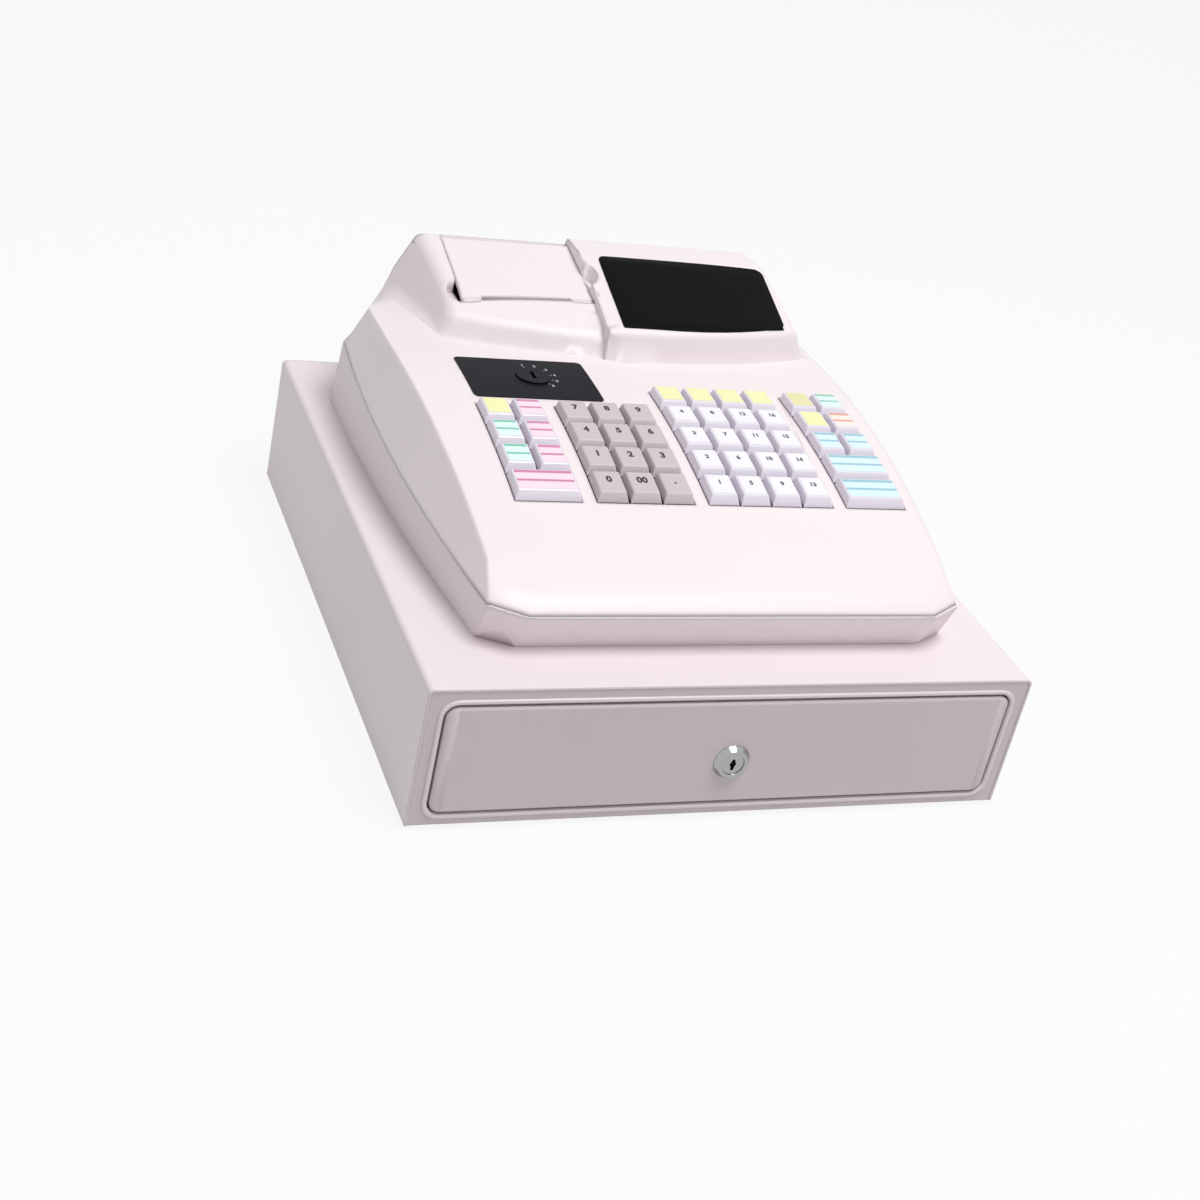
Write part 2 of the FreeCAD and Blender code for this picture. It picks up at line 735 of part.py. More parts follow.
def make_latch_solenoid():
    """Drawer release: bracket and coil on the base pan, with the hook's pin."""
    frame = box(LATCH_X - 16, LATCH_X + 16, 329, 352, SHEET, 40)
    window = box(LATCH_X - 14, LATCH_X + 14, 327, 354, SHEET + 2, 38)
    coil = rod(9.0, vec(LATCH_X, 340, SHEET + 2), 36 - SHEET, Z_AXIS)
    cheeks = []
    for side in (-1, 1):
        x0 = LATCH_X + side * 4.5
        x1 = x0 + side * 2.0
        cheeks.append(box(min(x0, x1), max(x0, x1), 336, 350, 40, LATCH_PIN_Z + 5))
    body = fused([frame.cut(window), coil] + cheeks)
    bore = rod(LATCH_PIN_R + RUN_FIT, vec(LATCH_X - 10, LATCH_PIN_Y, LATCH_PIN_Z), 20, X_AXIS)
    return body.cut(bore)


def make_latch_hook():
    """Hook that drops over the drawer's rear wall; drawn in its released position."""
    pin = eight_sided(LATCH_PIN_R, LATCH_X - 7, LATCH_X + 7, LATCH_PIN_Y, LATCH_PIN_Z)
    arm = side_polygon([(346, 56), (346, 64), (336, 66), (319, 66), (319, 56.5), (322, 58.5),
                        (322, 62), (334, 62), (337, 56)], LATCH_X - 4, LATCH_X + 4)
    hook = fused([pin, arm])
    hook.rotate(vec(0, LATCH_PIN_Y, LATCH_PIN_Z), X_AXIS, -LATCH_LIFT)
    return hook


# Body cases

def make_lower_case():
    """Shallow pan with a floor that stands on the cabinet's top. A narrow rebate round
    the outside of the rim is the shadow line between the two cases."""
    solid = lower_walls().cut(above_parting())
    hollow = lower_walls(WALL).common(box(-170, 170, 0, 400, CABINET_H + WALL, 200))
    rebate = lower_walls(-1.0).cut(lower_walls(REBATE_D)).common(above_parting(-SEAM_GAP))
    return solid.cut(hollow).cut(rebate).cut(inlet_block())


def inlet_block():
    return box(INLET_X0, INLET_X1, 322, 345, CABINET_H + INLET_LIFT,
               CABINET_H + INLET_LIFT + INLET_H)


def make_power_inlet():
    """Two-pole mains inlet let into the rear wall of the lower case."""
    floor = CABINET_H + INLET_LIFT
    body = box(INLET_X0, INLET_X1, 322, INLET_FACE_Y, floor, floor + INLET_H)
    mouth = rounded_plate(INLET_X0 + 3, INLET_X1 - 3, floor + 3, floor + INLET_H - 3, 3,
                          326, INLET_FACE_Y + 5)
    body = body.cut(mouth)
    middle = (INLET_X0 + INLET_X1) / 2
    for x in (middle - 4, middle + 4):
        body = body.fuse(rod(1.2, vec(x, 325, floor + INLET_H / 2), 10, Y_AXIS))
    return body.removeSplitter()


def key_blocks():
    """Each block of keys as (left edge, columns, rows)."""
    return [(LEFT_X, 2, 4), (NUM_X, 3, 4), (DEPT_X, 4, 5), (RIGHT_X, 2, 5)]


def radial_prism(x0, x1, s0, s1, depth0, depth1):
    """Block between two stations along the crown, from depth0 to depth1 under it.
    Stations are arc lengths behind the first row's front edge."""
    lean0 = math.asin((CREST_Y - KEY_Y0) / DECK_R)
    corners = []
    for s, depth in ((s0, depth0), (s1, depth0), (s1, depth1), (s0, depth1)):
        lean = lean0 - s / DECK_R
        reach = DECK_R - depth
        corners.append((CREST_Y - reach * math.sin(lean),
                        CREST_Z - DECK_R + reach * math.cos(lean)))
    return side_polygon(corners, x0, x1)


def crown_shell(depth0, depth1):
    """Layer of the crown between two depths, for plates that lie on or under it."""
    outer = rod(DECK_R - depth0, vec(-170, CREST_Y, CREST_Z - DECK_R), 340, X_AXIS)
    inner = rod(DECK_R - depth1, vec(-171, CREST_Y, CREST_Z - DECK_R), 342, X_AXIS)
    return outer.cut(inner)


def mode_plate_prism(grow):
    return rounded_pad(PLATE_X0 - grow, PLATE_X1 + grow, PLATE_Y0 - grow, PLATE_Y1 + grow,
                       PLATE_R + grow, 125, 160)


def lens_prism(grow):
    """Plan shape of the display window: two opposite corners are well rounded."""
    prism = box(LENS_X0 - grow, LENS_X1 + grow, LENS_Y0 - grow, LENS_Y1 + grow, 120, 220)
    for x, y, radius in ((LENS_X0, LENS_Y1, 8.0), (LENS_X1, LENS_Y0, 8.0),
                         (LENS_X0, LENS_Y0, 2.0), (LENS_X1, LENS_Y1, 2.0)):
        edge = [e for e in prism.Edges if abs(e.tangentAt(e.FirstParameter).z) > 0.99
                and abs(e.CenterOfMass.x - x) < 3 and abs(e.CenterOfMass.y - y) < 3]
        prism = prism.makeFillet(radius, edge)
    return prism


def bowed_lens_region(grow):
    """The window's prism with its front edge following the bowed front of the head."""
    bow_centre_y = LENS_Y0 - grow + HEAD_BOW_R
    disc = rod(HEAD_BOW_R, vec(HEAD_BOW_X + 20, bow_centre_y, 120), 100, Z_AXIS)
    return lens_prism(grow).common(disc)


def make_upper_case():
    """Crowned deck with key openings, and the head with its printer well."""
    outer = upper_body().fuse(head())
    inner = upper_body(WALL).fuse(head(WALL))
    case = fused([outer.cut(inner), well_solid(), thumb_pads(), hinge_ears()])
    case = case.common(above_parting())
    for x0, columns, rows in key_blocks():
        case = case.cut(radial_prism(x0, x0 + columns * KEY_P, 0, rows * KEY_Q, -4, 6))
    case = case.cut(mode_plate_prism(0.15).common(crown_shell(-3, PLATE_DEEP)))
    case = case.cut(rod(KNOB_SHAFT_R + RUN_FIT, vec(KNOB_X, KNOB_Y, 120), 60, Z_AXIS))
    case = case.cut(lens_pocket())
    case = case.cut(rear_window(0.1))
    case = case.cut(cover_opening())
    case = case.cut(thumb_scoops())
    case = case.cut(hinge_bores())
    case = case.fuse(roll_hubs())
    return case.removeSplitter()


def well_solid():
    """Tub of the paper well, hung from the head's skin."""
    tub = box(WELL_X0 - 2, WELL_X1 + 2, WELL_Y0 - 2, WELL_Y1 + 2, WELL_Z0 - 2, 200)
    tub = tub.cut(box(WELL_X0, WELL_X1, WELL_Y0, WELL_Y1, WELL_Z0, 201))
    return tub.common(printer_half(WALL * 0.5).fuse(box(-100, 0, 250, 336, 100, 139)))


def cover_opening():
    return box(COVER_X0, COVER_X1, COVER_Y0, HINGE_Y + HINGE_R + HINGE_GAP, 145, 200)


def thumb_hollow(x, y, grow, floor):
    return rod(THUMB_R + grow, vec(x, y, floor - grow), 60, Z_AXIS)


def thumb_pads():
    """Material under the skin that the two finger hollows are scooped from."""
    left = thumb_hollow(THUMB_LEFT_X, THUMB_LEFT_Y, 1.4, THUMB_LEFT_Z).common(printer_half())
    left = left.common(box(-130, COVER_X0, 200, 330, 100, 200))
    right = thumb_hollow(THUMB_RIGHT_X, THUMB_RIGHT_Y, 1.4, THUMB_RIGHT_Z).common(display_half())
    return left.fuse(right)


def thumb_scoops():
    """Finger hollows beside the cover's left and right edges."""
    left = thumb_hollow(THUMB_LEFT_X, THUMB_LEFT_Y, 0.0, THUMB_LEFT_Z).common(
        box(-130, COVER_X0, 200, 330, 100, 200))
    right = thumb_hollow(THUMB_RIGHT_X, THUMB_RIGHT_Y, 0.0, THUMB_RIGHT_Z).common(
        box(HEAD_SPLIT_X, 20, 200, 330, 100, 200))
    return left.fuse(right)


def hinge_ears():
    """Blocks under the skin that carry the cover's hinge pins."""
    z = hinge_height()
    left = box(COVER_X0 - 4.5, COVER_X0, HINGE_Y - 4, HINGE_Y + 4, z - 5, z + 3)
    right = box(COVER_X1, COVER_X1 + 4.5, HINGE_Y - 4, HINGE_Y + 4, z - 5, z + 3)
    return left.common(printer_half(1.0)).fuse(right.common(display_half(0.0)))


def hinge_bores():
    z = hinge_height()
    return rod(HINGE_PIN_R + RUN_FIT, vec(COVER_X0 - 3.2, HINGE_Y, z), COVER_X1 - COVER_X0 + 6.4,
               X_AXIS)


def hinge_height():
    """Axis height: the hinge roll's top meets the cover's surface at its left end."""
    low = head_front(PRINTER_LEVELS[2], COVER_X0, 0.0)
    high = head_front(PRINTER_LEVELS[3], COVER_X0, 0.0)
    share = (HINGE_Y - low.y) / (high.y - low.y)
    return low.z + share * (high.z - low.z) - HINGE_R


def roll_hubs():
    """Two hubs on the well's cheeks that carry the paper roll by its core."""
    reach_left = ROLL_X - ROLL_W / 2 + 6
    reach_right = ROLL_X + ROLL_W / 2 - 6
    left = rod(ROLL_CORE_R - RUN_FIT, vec(WELL_X0 - 1, ROLL_Y, ROLL_Z),
               reach_left - WELL_X0 + 1, X_AXIS)
    right = rod(ROLL_CORE_R - RUN_FIT, vec(reach_right, ROLL_Y, ROLL_Z),
                WELL_X1 + 1 - reach_right, X_AXIS)
    return left.fuse(right)


def lens_pocket():
    low = display_half().copy()
    low.translate(vec(0, 0, -1.2))
    high = box(-20, 130, 240, 320, 150, 200)
    return bowed_lens_region(0.1).common(high).cut(low)


def make_display_lens():
    """Tinted window that follows the surface of the display half."""
    proud = display_half().copy()
    proud.translate(vec(0, 0, 0.3))
    low = display_half().copy()
    low.translate(vec(0, 0, -1.2))
    return bowed_lens_region(0.0).common(proud).cut(low)


def rear_window(grow):
    """Shallow pocket of the customer's window in the rear of the head."""
    region = box(REAR_LENS_X0 - grow, REAR_LENS_X1 + grow, 325, 350, REAR_LENS_Z0 - grow,
                 REAR_LENS_Z1 + grow)
    deep = upper_walls()
    deep.translate(vec(0, -REAR_LENS_T, 0))
    return region.cut(deep)


def make_customer_lens():
    return rear_window(0.0).common(upper_walls())


def make_mode_plate():
    plate = mode_plate_prism(0.0).common(crown_shell(-PLATE_PROUD, PLATE_DEEP))
    return plate.cut(rod(KNOB_R + KNOB_GAP, vec(KNOB_X, KNOB_Y, 120), 60, Z_AXIS))


def make_mode_knob():
    """Key switch: a low disc with a key slot, let into the plate, on a shaft that
    goes down through the deck."""
    deck_z = deck_point(KNOB_Y).z
    low = deck_z - PLATE_DEEP + KNOB_LIFT
    disc = rod(KNOB_R, vec(KNOB_X, KNOB_Y, low), deck_z + KNOB_TOP - low, Z_AXIS)
    shaft = rod(KNOB_SHAFT_R, vec(KNOB_X, KNOB_Y, deck_z - 12), 12, Z_AXIS)
    slot = box(KNOB_X - 1.1, KNOB_X + 1.1, KNOB_Y - 4.5, KNOB_Y + 4.5, deck_z - 5, deck_z + 5)
    return fused([disc, shaft]).cut(slot)


def make_printer_cover():
    """Hinged lid in the surface of the printer half, with the paper slot in its
    front edge and a rolled rear edge that turns in the case."""
    inside = box(COVER_X0 + COVER_GAP, COVER_X1 - COVER_GAP, COVER_Y0 + COVER_GAP,
                 HINGE_Y, 140, 200)
    low = printer_half().copy()
    low.translate(vec(0, 0, -COVER_T))
    skin = printer_half().common(inside).cut(low)
    z = hinge_height()
    roll = rod(HINGE_R, vec(COVER_X0 + COVER_GAP, HINGE_Y, z),
               COVER_X1 - COVER_X0 - 2 * COVER_GAP, X_AXIS)
    web = box(COVER_X0 + COVER_GAP, COVER_X1 - COVER_GAP, HINGE_Y - 5, HINGE_Y,
              z - 1.5, z + HINGE_R - 1.0)
    pins = eight_sided(HINGE_PIN_R, COVER_X0 - 3.0, COVER_X1 + 3.0, HINGE_Y, z)
    slot = box(SLOT_X0, SLOT_X1, COVER_Y0, COVER_Y0 + COVER_GAP + SLOT_L, 140, 200)
    return fused([skin, roll, web, pins]).cut(slot)


def make_print_mechanism():
    """Printer frame: side cheeks with bearings, a head bar and a paper guide."""
    x0 = ROLL_X - ROLL_W / 2 - 5
    x1 = ROLL_X + ROLL_W / 2 + 5
    base = box(x0, x1, WELL_Y0 + 1, 281, WELL_Z0, 128)
    cheek = [(WELL_Y0 + 1, 128), (281, 128), (281, 152), (278, 154.5), (272, 154),
             (267.5, 150.5), (WELL_Y0 + 1, 137)]
    left = side_polygon(cheek, x0, x0 + 3)
    right = side_polygon(cheek, x1 - 3, x1)
    head_bar = box(x0 + 3, x1 - 3, WELL_Y0 + 4, WELL_Y0 + 9, 128, 143)
    frame = fused([base, left, right, head_bar])
    bore = rod(PLATEN_SHAFT_R + RUN_FIT, vec(x0 - 1, PLATEN_Y, PLATEN_Z), x1 - x0 + 2, X_AXIS)
    return frame.cut(bore)


def make_platen_roller():
    x0 = ROLL_X - ROLL_W / 2 - 1
    x1 = ROLL_X + ROLL_W / 2 + 1
    roller = rod(PLATEN_R, vec(x0, PLATEN_Y, PLATEN_Z), x1 - x0, X_AXIS)
    shaft = rod(PLATEN_SHAFT_R, vec(x0 - 4.5, PLATEN_Y, PLATEN_Z), x1 - x0 + 9, X_AXIS)
    return fused([roller, shaft])


def make_paper_roll():
    x0 = ROLL_X - ROLL_W / 2
    roll = rod(ROLL_R, vec(x0, ROLL_Y, ROLL_Z), ROLL_W, X_AXIS)
    return roll.cut(rod(ROLL_CORE_R, vec(x0 - 1, ROLL_Y, ROLL_Z), ROLL_W + 2, X_AXIS))


# Keyboard

def key_frame(s):
    """Centre height, depth and lean of a key whose middle lies at arc length s."""
    lean = math.asin((CREST_Y - KEY_Y0) / DECK_R) - s / DECK_R
    y = CREST_Y - DECK_R * math.sin(lean)
    z = CREST_Z - DECK_R + DECK_R * math.cos(lean)
    return y, z, lean


def keycap(columns):
    """One tapered cap with a broken top rim, on its skirt and stem. The stem's axis
    is Z and the skirt's upper rim lies at height 0."""
    x = (columns * KEY_P - KEY_GAP) / 2
    y = (KEY_Q - KEY_GAP) / 2
    top_x = x - (KEY_P - KEY_GAP - CAP_TOP_W) / 2
    top_y = CAP_TOP_L / 2
    cap = Part.makeWedge(-x, 0, -y, -top_y - CAP_BACK_SHIFT, -top_x,
                         x, CAP_H, y, top_y - CAP_BACK_SHIFT, top_x)
    cap.rotate(vec(0, 0, 0), X_AXIS, 90)
    cap = cap.makeChamfer(CAP_BEVEL, [e for e in cap.Edges if e.BoundBox.ZMin > 0.01])
    skirt = box(-x, x, -y, y, -CAP_SKIRT, 0)
    stem = box(-STEM / 2, STEM / 2, -STEM / 2, STEM / 2, -STEM_L, -CAP_SKIRT)
    return fused([cap, skirt, stem])


def placed_key(cap, x_centre, s_centre):
    """A cap stood on the crown, its middle at arc length s_centre."""
    y, z, lean = key_frame(s_centre)
    key = cap.copy()
    key.rotate(vec(0, 0, 0), X_AXIS, math.degrees(lean))
    key.translate(vec(x_centre, y, z))
    return key


def cell(x0, column, row, columns=1):
    """Middle of a key that starts at this column and row of its block."""
    return x0 + (column + columns / 2) * KEY_P, (row + 0.5) * KEY_Q


def key_table():
    """Every key node with the list of (x, s, columns) of its caps."""
    keys = {}
    digits = [["0", "00", "point"], ["1", "2", "3"], ["4", "5", "6"], ["7", "8", "9"]]
    for row, names in enumerate(digits):
        for column, name in enumerate(names):
            keys["key_number_" + name] = [cell(NUM_X, column, row) + (1,)]
    keys["key_left_wide"] = [cell(LEFT_X, 0, 0, 2) + (2,)]
    for row in (1, 2, 3):
        for column in (0, 1):
            name = "key_left_row%d_%d" % (row, column + 1)
            keys[name] = [cell(LEFT_X, column, row) + (1,)]
    for row in (0, 1):
        keys["key_right_wide_%d" % (row + 1)] = [cell(RIGHT_X, 0, row, 2) + (2,)]
    for row in (2, 3, 4):
        for column in (0, 1):
            name = "key_right_row%d_%d" % (row, column + 1)
            keys[name] = [cell(RIGHT_X, column, row) + (1,)]
    for column in range(4):
        keys["key_top_%d" % (column + 1)] = [cell(DEPT_X, column, 4) + (1,)]
        keys["key_department_column_%d" % (column + 1)] = [
            cell(DEPT_X, column, row) + (1,) for row in range(4)]
    return keys


def make_keys():
    forms = {columns: keycap(columns) for columns in (1, 2)}
    for name, caps in key_table().items():
        solids = [placed_key(forms[columns], x, s) for x, s, columns in caps]
        PARTS[name] = solids[0] if len(solids) == 1 else Part.makeCompound(solids)


def make_keyboard_base():
    """Flat guide plate under the crowned deck, with a square hole for every stem and
    ribs that rise to the deck between the blocks."""
    x0 = LEFT_X - 3
    x1 = RIGHT_X + 2 * KEY_P + 3
    front = deck_point(KEY_Y0 - 4, BOARD_DEPTH)
    rear = deck_point(KEY_Y0 + 5 * KEY_Q + 1, BOARD_DEPTH)
    plate = side_polygon([(front.y, front.z), (rear.y, rear.z), (rear.y, rear.z - BOARD_T),
                          (front.y, front.z - BOARD_T)], x0, x1)
    under_deck = crown_shell(WALL, BOARD_DEPTH + BOARD_T)
    above_plate = side_polygon([(front.y, front.z - 0.5), (rear.y, rear.z - 0.5),
                                (rear.y, 160), (front.y, 160)], x0, x1)
    rib_space = under_deck.common(above_plate)
    for rib_x0, rib_x1 in ((x0, x0 + 2), (-64.5, -62.0), (-1.5, 1.0), (80.0, 82.5),
                           (x1 - 2, x1)):
        plate = plate.fuse(box(rib_x0, rib_x1, KEY_Y0 - 3, 184.0, 90, 145).common(rib_space))
    plate = plate.removeSplitter()
    hole = STEM / 2 + GUIDE_GAP
    for caps in key_table().values():
        for x, s, columns in caps:
            cutter = box(-hole, hole, -hole, hole, -STEM_L, -BOARD_DEPTH + 2)
            y, z, lean = key_frame(s)
            cutter.rotate(vec(0, 0, 0), X_AXIS, math.degrees(lean))
            cutter.translate(vec(x, y, z))
            plate = plate.cut(cutter)
    return plate


# Assembly

MAKERS = {
    "cabinet_shell": make_cabinet_shell,
    "cabinet_base": make_cabinet_base,
    "front_frame": make_front_frame,
    "rubber_feet": make_rubber_feet,
    "drawer_rails": make_drawer_rails,
    "drawer_tray": make_drawer_tray,
    "drawer_front": make_drawer_front,
    "lock_bezel": make_lock_bezel,
    "lock_cylinder": make_lock_cylinder,
    "cash_tray": make_cash_tray,
    "bill_clips": make_bill_clips,
    "latch_solenoid": make_latch_solenoid,
    "latch_hook": make_latch_hook,
    "lower_case": make_lower_case,
    "power_inlet": make_power_inlet,
    "upper_case": make_upper_case,
    "display_lens": make_display_lens,
    "customer_lens": make_customer_lens,
    "mode_plate": make_mode_plate,
    "mode_knob": make_mode_knob,
    "printer_cover": make_printer_cover,
    "print_mechanism": make_print_mechanism,
    "platen_roller": make_platen_roller,
    "paper_roll": make_paper_roll,
    "keyboard_base": make_keyboard_base,
}


def main():
    for name, maker in MAKERS.items():
        PARTS[name] = maker()
    make_keys()
    os.makedirs("parts", exist_ok=True)
    to_origin = vec(0, -(CABINET_D - PANEL_PROUD - LOCK_PROUD) / 2, FOOT_H)
    for name, shape in PARTS.items():
        placed = shape.copy()
        placed.translate(to_origin)
        placed.exportStep(os.path.join("parts", name + ".step"))
        print("%-28s solids %2d  valid %s  volume %.1f cm3"
              % (name, len(placed.Solids), placed.isValid(), placed.Volume / 1000))


main()
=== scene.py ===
# %% [markdown]
# A small cash register stands on its drawer cabinet. The rigid model of it comes
# ready made, one mesh for each part, and this script dresses it: it sets up the
# camera and the light, gives every part its finish, and makes the pieces that
# carry print. Everything is in metres, with the drawer facing -Y.

# %% Load the register
import json
import math

import bmesh
import bpy
from mathutils import Matrix, Vector
from mathutils.bvhtree import BVHTree


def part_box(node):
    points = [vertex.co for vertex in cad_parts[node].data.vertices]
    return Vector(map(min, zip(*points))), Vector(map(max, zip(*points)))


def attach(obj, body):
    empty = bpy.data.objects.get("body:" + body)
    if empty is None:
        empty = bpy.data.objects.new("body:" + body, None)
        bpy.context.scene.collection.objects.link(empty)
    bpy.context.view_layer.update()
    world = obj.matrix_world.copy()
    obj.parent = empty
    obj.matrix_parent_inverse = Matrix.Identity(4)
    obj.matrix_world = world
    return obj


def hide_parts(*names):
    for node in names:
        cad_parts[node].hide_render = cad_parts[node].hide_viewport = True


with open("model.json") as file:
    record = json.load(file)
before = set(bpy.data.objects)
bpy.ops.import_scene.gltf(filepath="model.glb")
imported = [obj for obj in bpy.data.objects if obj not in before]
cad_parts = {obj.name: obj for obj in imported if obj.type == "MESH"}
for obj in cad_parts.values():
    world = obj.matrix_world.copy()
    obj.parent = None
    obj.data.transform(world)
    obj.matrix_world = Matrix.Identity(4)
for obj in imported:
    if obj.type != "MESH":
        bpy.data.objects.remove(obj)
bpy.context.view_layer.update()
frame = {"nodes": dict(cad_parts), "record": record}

# %% [markdown]
# The photograph was taken from above and to the left with a slightly tilted
# camera, framed low and left. A camera object can copy all of that: its place and
# turn are set outright, the focal length sets the perspective, and a lens shift
# slides the frame sideways without turning the camera.

# %% Camera
camera_data = bpy.data.cameras.new("register_camera")
camera_data.lens = 59.54
camera_data.sensor_width = 36.0
camera_data.shift_x = -0.0358
camera_data.shift_y = -0.0583
camera_data.clip_start = 0.01
camera = bpy.data.objects.new("register_camera", camera_data)
camera.location = (-0.4364, -0.9035, 0.5770)
camera.rotation_euler = [math.radians(a) for a in (62.567, -12.038, -20.051)]
bpy.context.scene.collection.objects.link(camera)
bpy.context.scene.camera = camera
print("camera stands", round(camera.location.length, 3), "m from the origin")

# %% [markdown]
# The register was shot on white paper. A lamp strong enough to burn the floor out
# would burn out the pale case as well, so the white is made another way: Light Path
# tells a ray from the camera apart from the rays that light the register. To the
# camera, and in gloss and glass, the world is white and the floor is mixed with
# white, and the floor's own shaded part still carries the shadow.

# %% Floor and world
WORLD_LIGHT = 0.42
FLOOR_GREY = 0.72
FLOOR_WHITENING = 0.89
FLOOR_REACH = 6.0


def seen_directly(nodes, links):
    """1 for rays from the camera, from gloss or through glass, and otherwise 0."""
    path = nodes.new("ShaderNodeLightPath")
    gloss = nodes.new("ShaderNodeMath")
    gloss.operation = "MAXIMUM"
    links.new(path.outputs["Is Camera Ray"], gloss.inputs[0])
    links.new(path.outputs["Is Glossy Ray"], gloss.inputs[1])
    glass = nodes.new("ShaderNodeMath")
    glass.operation = "MAXIMUM"
    links.new(gloss.outputs[0], glass.inputs[0])
    links.new(path.outputs["Is Transmission Ray"], glass.inputs[1])
    return glass.outputs[0]


def floor_material():
    material = bpy.data.materials.new("white_paper_floor")
    material.use_nodes = True
    nodes, links = material.node_tree.nodes, material.node_tree.links
    shader = nodes["Principled BSDF"]
    shader.inputs["Base Color"].default_value = (FLOOR_GREY, FLOOR_GREY, FLOOR_GREY, 1.0)
    shader.inputs["Roughness"].default_value = 0.9
    white = nodes.new("ShaderNodeEmission")
    share = nodes.new("ShaderNodeMath")
    share.operation = "MULTIPLY"
    share.inputs[1].default_value = FLOOR_WHITENING
    links.new(seen_directly(nodes, links), share.inputs[0])
    mix = nodes.new("ShaderNodeMixShader")
    links.new(share.outputs[0], mix.inputs["Fac"])
    links.new(shader.outputs[0], mix.inputs[1])
    links.new(white.outputs[0], mix.inputs[2])
    links.new(mix.outputs[0], nodes["Material Output"].inputs["Surface"])
    return material


bm = bmesh.new()
bmesh.ops.create_grid(bm, x_segments=2, y_segments=2, size=FLOOR_REACH)
floor_mesh = bpy.data.meshes.new("floor")
bm.to_mesh(floor_mesh)
bm.free()
floor = bpy.data.objects.new("floor", floor_mesh)
bpy.context.scene.collection.objects.link(floor)
floor.data.materials.append(floor_material())

world = bpy.data.worlds.new("white_studio")
bpy.context.scene.world = world
world.use_nodes = True
sky_nodes, sky_links = world.node_tree.nodes, world.node_tree.links
strength = sky_nodes.new("ShaderNodeMath")
strength.operation = "MULTIPLY_ADD"
strength.inputs[1].default_value = 1.0 - WORLD_LIGHT
strength.inputs[2].default_value = WORLD_LIGHT
sky_links.new(seen_directly(sky_nodes, sky_links), strength.inputs[0])
sky_nodes["Background"].inputs["Color"].default_value = (1.0, 1.0, 1.0, 1.0)
sky_links.new(strength.outputs[0], sky_nodes["Background"].inputs["Strength"])
bpy.context.scene.view_settings.view_transform = "Standard"
print("floor and world made")

# %% [markdown]
# One big soft lamp hangs overhead, in front and a little to the right. It keeps the
# deck, the cabinet's top and the sloping front of the head bright and leaves the left
# side to the weaker light all round. A wide area lamp is a studio softbox.

# %% Lamp
def softbox(name, location, target, size, power):
    data = bpy.data.lights.new(name, "AREA")
    data.shape = "DISK"
    data.size = size
    data.energy = power
    lamp = bpy.data.objects.new(name, data)
    lamp.location = location
    aim = Vector(target) - Vector(location)
    lamp.rotation_euler = aim.to_track_quat("-Z", "Y").to_euler()
    bpy.context.scene.collection.objects.link(lamp)
    return data


overhead = softbox("overhead", location=(0.25, -0.52, 1.80), target=(0, 0, 0.1), size=1.0,
                   power=23.0)
print("softbox", overhead.size, "m across,", overhead.energy, "W")

# %% [markdown]
# Almost everything here is moulded or painted in the same warm off-white. Spark
# eroded moulds leave a fine even grain, which breaks up the highlights: a small
# noise drives the bump, and a large faint one shifts the tone. Both read Object
# coordinates, so the grain has a real size on every part. Moulded corners are never
# sharp either: the Bevel node rounds the normals within a set radius of an edge,
# which costs no faces and also softens inner corners such as the head's foot.

# %% A finish for plastic, paint and metal
def srgb(red, green, blue):
    """A colour given in 0-255 screen values, as the linear values a shader takes."""
    def linear(value):
        share = value / 255
        return share / 12.92 if share <= 0.04045 else ((share + 0.055) / 1.055) ** 2.4
    return (linear(red), linear(green), linear(blue))


def finish(name, colour, roughness, grain=0.0, grain_size=0.0006, metallic=0.0, drift=0.02,
           coat=0.0, soft_edge=0.0, shine=0.5):
    """A coloured finish with a fine grain, a faint drift of tone and soft corners."""
    material = bpy.data.materials.new(name)
    material.use_nodes = True
    nodes, links = material.node_tree.nodes, material.node_tree.links
    shader = nodes["Principled BSDF"]
    shader.inputs["Roughness"].default_value = roughness
    shader.inputs["Metallic"].default_value = metallic
    shader.inputs["Coat Weight"].default_value = coat
    shader.inputs["Specular IOR Level"].default_value = shine
    place = nodes.new("ShaderNodeTexCoord")
    cloud = nodes.new("ShaderNodeTexNoise")
    cloud.inputs["Scale"].default_value = 9.0
    cloud.inputs["Detail"].default_value = 3.0
    links.new(place.outputs["Object"], cloud.inputs["Vector"])
    tones = nodes.new("ShaderNodeMix")
    tones.data_type = "RGBA"
    tones.inputs["A"].default_value = (*[c * (1 - drift) for c in colour], 1.0)
    tones.inputs["B"].default_value = (*[min(1.0, c * (1 + drift)) for c in colour], 1.0)
    links.new(cloud.outputs["Fac"], tones.inputs["Factor"])
    links.new(tones.outputs["Result"], shader.inputs["Base Color"])
    specks = nodes.new("ShaderNodeTexNoise")
    specks.inputs["Scale"].default_value = 1.0 / grain_size
    specks.inputs["Detail"].default_value = 2.0
    links.new(place.outputs["Object"], specks.inputs["Vector"])
    bump = nodes.new("ShaderNodeBump")
    bump.inputs["Strength"].default_value = grain
    bump.inputs["Distance"].default_value = 0.0001
    links.new(specks.outputs["Fac"], bump.inputs["Height"])
    links.new(bump.outputs["Normal"], shader.inputs["Normal"])
    if soft_edge:
        corner = nodes.new("ShaderNodeBevel")
        corner.samples = 6
        corner.inputs["Radius"].default_value = soft_edge
        links.new(corner.outputs["Normal"], bump.inputs["Normal"])
    return material


